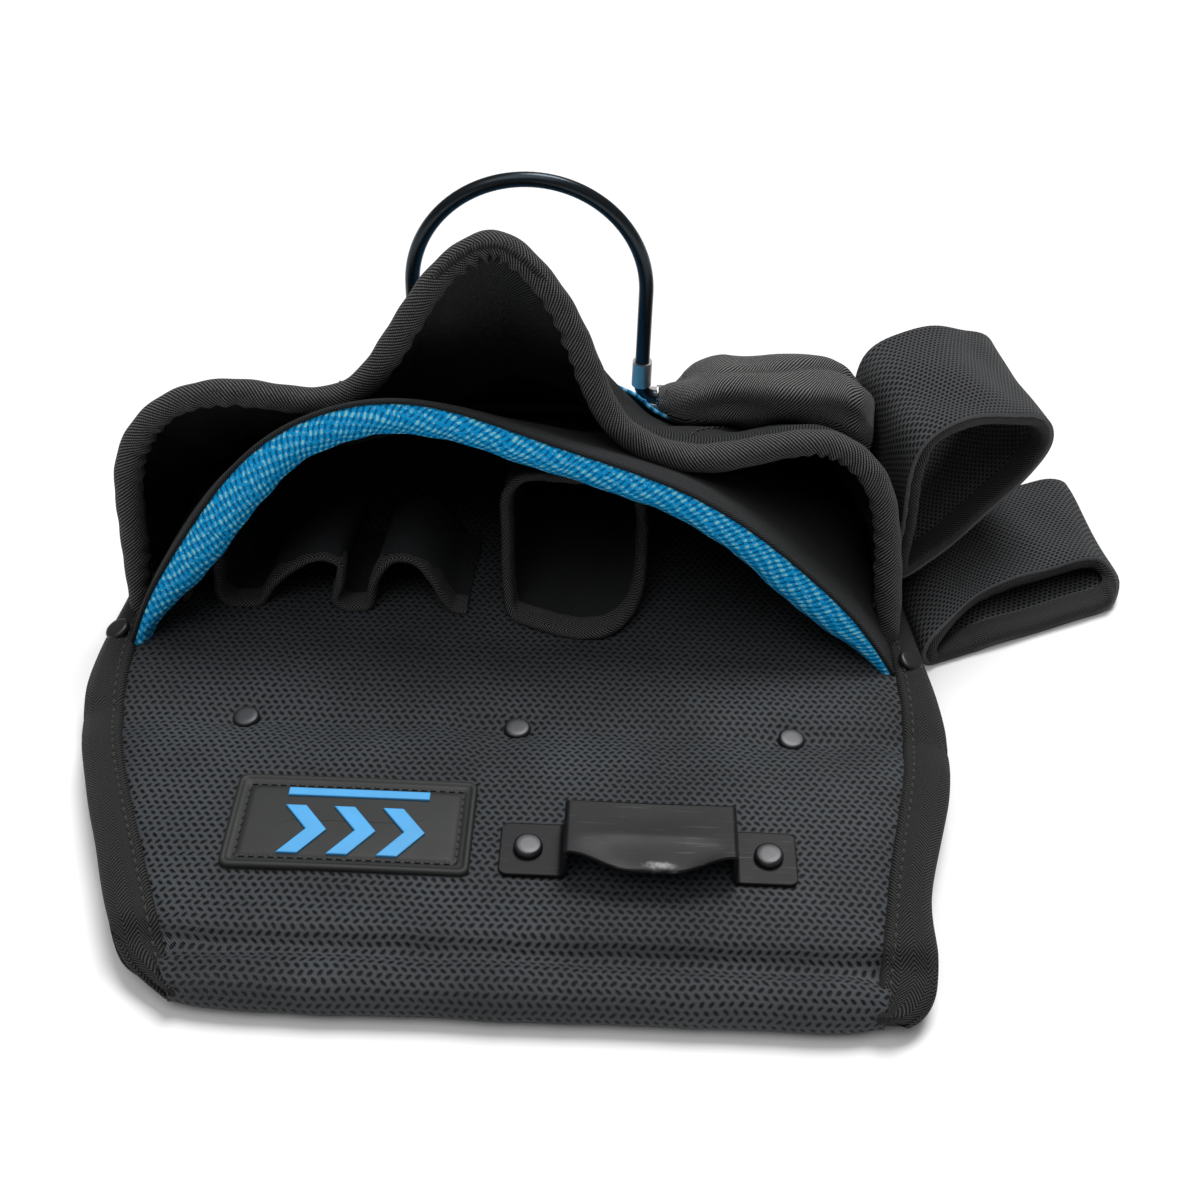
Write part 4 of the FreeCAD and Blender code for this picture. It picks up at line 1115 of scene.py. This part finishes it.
def tool_sleeve():
    """Squarish open sleeve for pliers or a chisel, which flattens away from its mouth."""
    mouth = smooth_path(TOOL_MOUTH, 260, closed=True)
    back_x = 16 + (mouth[:, 0] - 16) * 0.92
    back_z = 15 + (mouth[:, 2] - 15) * 0.45
    rows = np.linspace(0, 1, 46)[:, None]
    x, y, z = [mouth[:, k] * (1 - rows) + back * rows
               for k, back in ((0, back_x), (1, 119), (2, back_z))]
    z = z + 0.6 * rough(x + z, y, 30, 61) * np.clip((z - 16) / 8, 0, 1)
    grid = np.stack([x, y, z], 2)
    made = surface("tool_sleeve_cloth", grid, LINING, closed_u=True, thickness=1.4)
    ride(made, "pouch", ["tool_sleeve"])
    into = unit(grid[4] - grid[0])
    outward = facing_out(mouth, unit(np.cross(into, tangents(mouth, True))))
    band = [(-2.1, 7.6), (-2.2, 4), (-2.1, 0.8), (-1.2, -0.9), (0.3, -1.1), (1.1, 0.3), (1.2, 3.6),
            (1.15, 7.0), (0.6, 8.2), (-0.2, 8.2)]
    tape = folded_tape("tool_sleeve_tape", mouth, outward, into, band,
                       puckers(run_of(mouth), 0.14, 1.2, 14), SLEEVE_TAPE_PAINTED_LIGHT, closed_v=True)
    ride(tape, "pouch", ["tool_sleeve_binding"])
    sheet(made, [tape])


# ---- hammer bail's strap, and its metal ----
def bail_strap():
    """Blue webbing sewn over the front pockets, under the bail's hinges."""
    grid = FRONT.levels(np.linspace(5.8, 12.1, 220), 200, np.linspace(88, 122, 50))
    out = normals_of(grid)
    grid = grid + out * 0.3
    made = surface("bail_webbing", grid, WEBBING, thickness=1.1)
    ride(made, "pouch", ["bail_strap"])
    seams = [sew(f"bail_webbing_stitches_{i + 1}", grid[row], out[row], "blue_webbing",
                 3.0, 2.1, 0.33, 0.25, paint=BLUE_THREAD) for i, row in enumerate((4, -5))]
    seams += [sew(f"bail_webbing_cross_stitches_{i + 1}", grid[:, k], out[:, k], "blue_webbing",
                  2.6, 1.9, 0.33, 0.25, paint=BLUE_THREAD) for i, k in enumerate((50, 176))]
    sheet(made, seams)


def paint_nodes():
    for name, paint in (("hammer_bail", GUNMETAL), ("bail_collars", BRIGHT),
                        ("bail_bracket_left", BRIGHT), ("bail_bracket_right", BRIGHT),
                        ("bail_bracket_rivets", CAPS)):
        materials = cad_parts[name].data.materials
        materials.clear()
        materials.append(paint)


# ---- side pocket ----
def lobe_height(x, y):
    """Height of the front pockets' cloth over the right lobe, at one distance up the pouch."""
    line = FRONT.levels(np.linspace(10.6, 15.8, 100), 120, [y])[0]
    return np.interp(x, line[:, 0], line[:, 2])


def side_pocket():
    """Folded loop of fine twill lying on the right lobe, tacked at its left, open at its right."""
    start, end = 43, 113
    x = np.linspace(start, end, 110)
    wall = [lobe_height(x, y) - 0.8 for y in (85, 91, 100, 110)]
    crown = np.interp(x, [start, 48, 54, 62, 80, 98, 105, 109, end],
                      [75.5, 77, 80, 83.2, 84.2, 83.4, 81, 77, 72])
    crown = np.convolve(np.pad(crown, 3, mode="edge"), np.ones(7) / 7, mode="valid")
    far = np.interp(x, [start, 52, 64, end], [99, 107, 112, 110.5])
    nose = 5.0 * step(52, 42, x)
    foot = np.interp(x, [46, 60, 75, 87, 100, 108, end], [72.5, 72, 74, 75.5, 73.5, 69, 65])
    foot = np.minimum(foot, crown - 1.6)
    grid = []
    for k, (top, low, back, lip) in enumerate(zip(crown, foot, far, nose)):
        floor = [min(w[k], top - 1.8) for w in wall]
        ring = [(85.6 + lip, low + 0.4), (85.9 + lip, 0.5 * (low + top)), (86.8 + lip, top - 1.2),
                (88.6 + lip, top - 0.2), (0.5 * (92.5 + back), top), (back - 5, top - 0.8),
                (back - 0.8, top - 3.6), (back, 0.45 * top + 0.55 * floor[3]),
                (back - 1.5, floor[3] + 0.6), (100, floor[2]), (max(91, 87.5 + lip), floor[1])]
        ring = smooth_path(ring, 110, closed=True)
        grid.append(np.stack([np.full(110, x[k]), ring[:, 0], ring[:, 1]], 1))
    grid = np.array(grid)
    out = facing_out(grid, -normals_of(grid, True), 1)
    share = ((x - start) / (end - start))[:, None]
    gx, gy, gz = grid.transpose(2, 0, 1)
    high = np.clip((gz - foot[:, None]) / 6, 0, 1)
    crease = 0.8 * np.sin(gy / 2.4 + 9 * share) * bump(share, 0.08, 0.12)
    fold = 1.7 * bump(gy - 88 - 17 * share, 0, 2.2) * step(0.1, 0.5, share)
    soft = 0.9 * rough(gx, gy + gz, 26, 71)
    grid = grid + out * ((crease + soft - fold) * high)[:, :, None]
    made = surface("side_pocket_cloth", grid, SIDE, closed_u=True, thickness=1.2)
    ride(made, "pouch", ["side_pocket"])
    tacks = []
    for i, (k, m) in enumerate(((7, 12), (10, 20), (14, 30))):
        spot = grid[k, m]
        line = np.linspace(spot - [2.5, 0, 0], spot + [3.0, -0.3, 0.9], 12)
        tacks.append(sew(f"side_pocket_tack_{i + 1}", line, (0, -0.4, 1), "black_twill", 0.7, 2.6,
                         0.3, 0.3, 3.0))
    hem_line = grid[6:-3, 14] + out[6:-3, 14] * 0.1
    tacks.append(sew("side_pocket_stitches", hem_line, (0, -0.6, 0.8), "black_twill"))
    under = np.stack([np.stack([x, np.full(len(x), y), lobe_height(x, y) - 1.9], 1)
                      for y in np.linspace(91, 109, 24)])[:, 12:-12]
    backing = surface("side_pocket_backing", under, FINE, thickness=0.8)
    ride(backing, "pouch", ["side_pocket_base"])
    sheet(made, tacks + [backing])


# ---- mesh loops ----
# Loop outlines are (distance out from the pouch, z), and LOOP_TAPE is (outward, away) of a tape's
# section from the mesh's edge.
LOOP_TAPE = [(0.9, -8.0), (1.15, -5), (1.1, -1.5), (0.6, 0.2), (-0.9, 0.9), (-2.6, 0.2),
             (-3.15, -1.8), (-3.1, -6), (-2.7, -8.2), (-1.0, -8.4)]
LOWEST = 1.3
UPPER_LINE = [(0, 26), (12, 26.5), (30, 31), (47, 37), (60, 43), (67, 51), (63, 60), (48.5, 68.5),
              (31, 77), (13, 80.5), (-0.5, 78), (-3, 66), (-2, 46)]
LOWER_LINE = [(1, 2.2), (20, 1.7), (42, 1.7), (64, 2.0), (75.5, 3.2), (79, 6.0), (75.5, 9.0),
              (62, 12.0), (42, 12.6), (22, 12.0), (3, 10.5), (-0.5, 6)]


def mesh_loop(which, line, place, turn, run, skew, body, seed):
    """Band of spacer mesh bent round to its own start, with twill tape folded over both edges."""
    turn = math.radians(turn)
    ring = smooth_path(line, 320, closed=True)
    flat = np.stack([place[0] + ring[:, 0] * math.cos(turn), place[1] + ring[:, 0] * math.sin(turn),
                     ring[:, 1]], 1)
    run = np.array(run, float)
    high = (ring[:, 1] - ring[:, 1].min()) / np.ptp(ring[:, 1])
    start = skew * step(0.25, 0.8, high) * step(-5, 30, ring[:, 0])
    along = start + (1 - start) * np.linspace(0, 1, 60)[:, None]
    grid = flat + along[:, :, None] * run
    out = facing_out(flat, unit(np.cross(tangents(flat, True), run)))
    dent = rough(grid[:, :, 0] + grid[:, :, 2], grid[:, :, 1], 34, seed)
    floor_side = np.clip((grid[:, :, 2] - 3) / 6, 0, 1)
    grid = grid + out * (0.8 * dent * floor_side)[:, :, None]
    grid[:, :, 2] = np.maximum(grid[:, :, 2], LOWEST)
    made = surface(f"{which}_loop_band", grid, MESH, closed_u=True, thickness=2.2)
    edges = []
    for i, rows in enumerate((grid[:9], grid[::-1][:9])):
        base = rows[0]
        away = unit(base - rows[-1])
        normal = facing_out(base, unit(np.cross(tangents(base, True), away)))
        tape = folded_tape(f"{which}_loop_tape_{i + 1}", base, normal, away, LOOP_TAPE,
                           puckers(run_of(base), 0.13, 1.15, 12, seed), TAPE, closed_v=True)
        edges.append(ride(tape, body, () if i else [f"{which}_loop_tape"]))
        line, up = [np.vstack([a, a[:1]]) for a in (base + normal * 1.35 - away * 6.6, normal)]
        edges.append(sew(f"{which}_loop_stitches_{i + 1}", line, up, "twill_tape",
                         3.1, 2.2, 0.3, 0.25, body=body))
    ride(made, body, [f"{which}_mesh_loop"])
    sheet(made, edges)


# ---- stage ----
def stage():
    """Pale floor, wide enough to meet the horizon in low views, just under the pouch."""
    floor = bpy.data.meshes.new("floor")
    reach = 40.0
    floor.from_pydata([(-reach, -reach, 0), (reach, -reach, 0), (reach, reach, 0),
                       (-reach, reach, 0)], [], [(0, 1, 2, 3)])
    p = Paint("floor_paint", Roughness=0.9, Specular_IOR_Level=0.1)
    floor.materials.append(p.finish(p.mix(p.noise(p.space(), 3.0, 2.0), grey(0.86), grey(0.90))))
    plane = linked("floor", floor)
    plane.location.z = -0.4 * MM


def lamp(name, way, power, spread):
    """A soft, distant light that shines from the direction `way`."""
    data = bpy.data.lights.new(name, "SUN")
    data.energy = power
    data.angle = math.radians(spread)
    made = linked(name, data)
    made.rotation_euler = Vector(way).to_track_quat("Z", "Y").to_euler()
    made.location = Vector(way)


def studio():
    world = bpy.data.worlds.new("studio")
    bpy.context.scene.world = world
    world.use_nodes = True
    sky = world.node_tree.nodes["Background"].inputs
    sky["Color"].default_value = (1.0, 1.0, 1.0, 1.0)
    sky["Strength"].default_value = 0.17
    bpy.context.scene.view_settings.view_transform = "Standard"
    lamp("key_light", (0.15, 0.45, 1.0), 2.8, 28)
    lamp("front_light", (-0.2, -0.32, 1.0), 1.0, 50)


def camera():
    """Looks down at the pouch's middle from its near end, a little rolled."""
    target = Vector((0.026, 0.061, 0.014))
    distance = 0.562
    rise = math.radians(40.0)
    roll = math.radians(2.3)
    back = Vector((0, -math.cos(rise), math.sin(rise)))
    right = Vector((1, 0, 0))
    up = Vector((0, math.sin(rise), math.cos(rise)))
    x_axis = right * math.cos(roll) + up * math.sin(roll)
    y_axis = up * math.cos(roll) - right * math.sin(roll)
    data = bpy.data.cameras.new("camera")
    data.lens = 50.0
    data.sensor_width = 36.0
    matrix = Matrix((x_axis, y_axis, back)).transposed().to_4x4()
    matrix.translation = target + back * distance
    made = linked("camera", data)
    made.matrix_world = matrix
    bpy.context.scene.camera = made


camera()
panel()
back_board()
rear_lining()
binding(-1)
binding(1)
panel_rivets()
badge()
tape_clip()
main_pocket()
front_pockets()
bottom_panel()
pen_sleeves()
tool_sleeve()
bail_strap()
paint_nodes()
side_pocket()
mesh_loop("upper", UPPER_LINE, (126.8, 66.0), 41.0, run=(-13.0, 50.0, 2.0), skew=0.0, body="pouch",
          seed=81)
mesh_loop("lower", LOWER_LINE, (137.2, 50.0), 26.0, run=(-9.0, 62.0, 0.0), skew=0.24,
          body="lower_loop", seed=83)
stage()
studio()
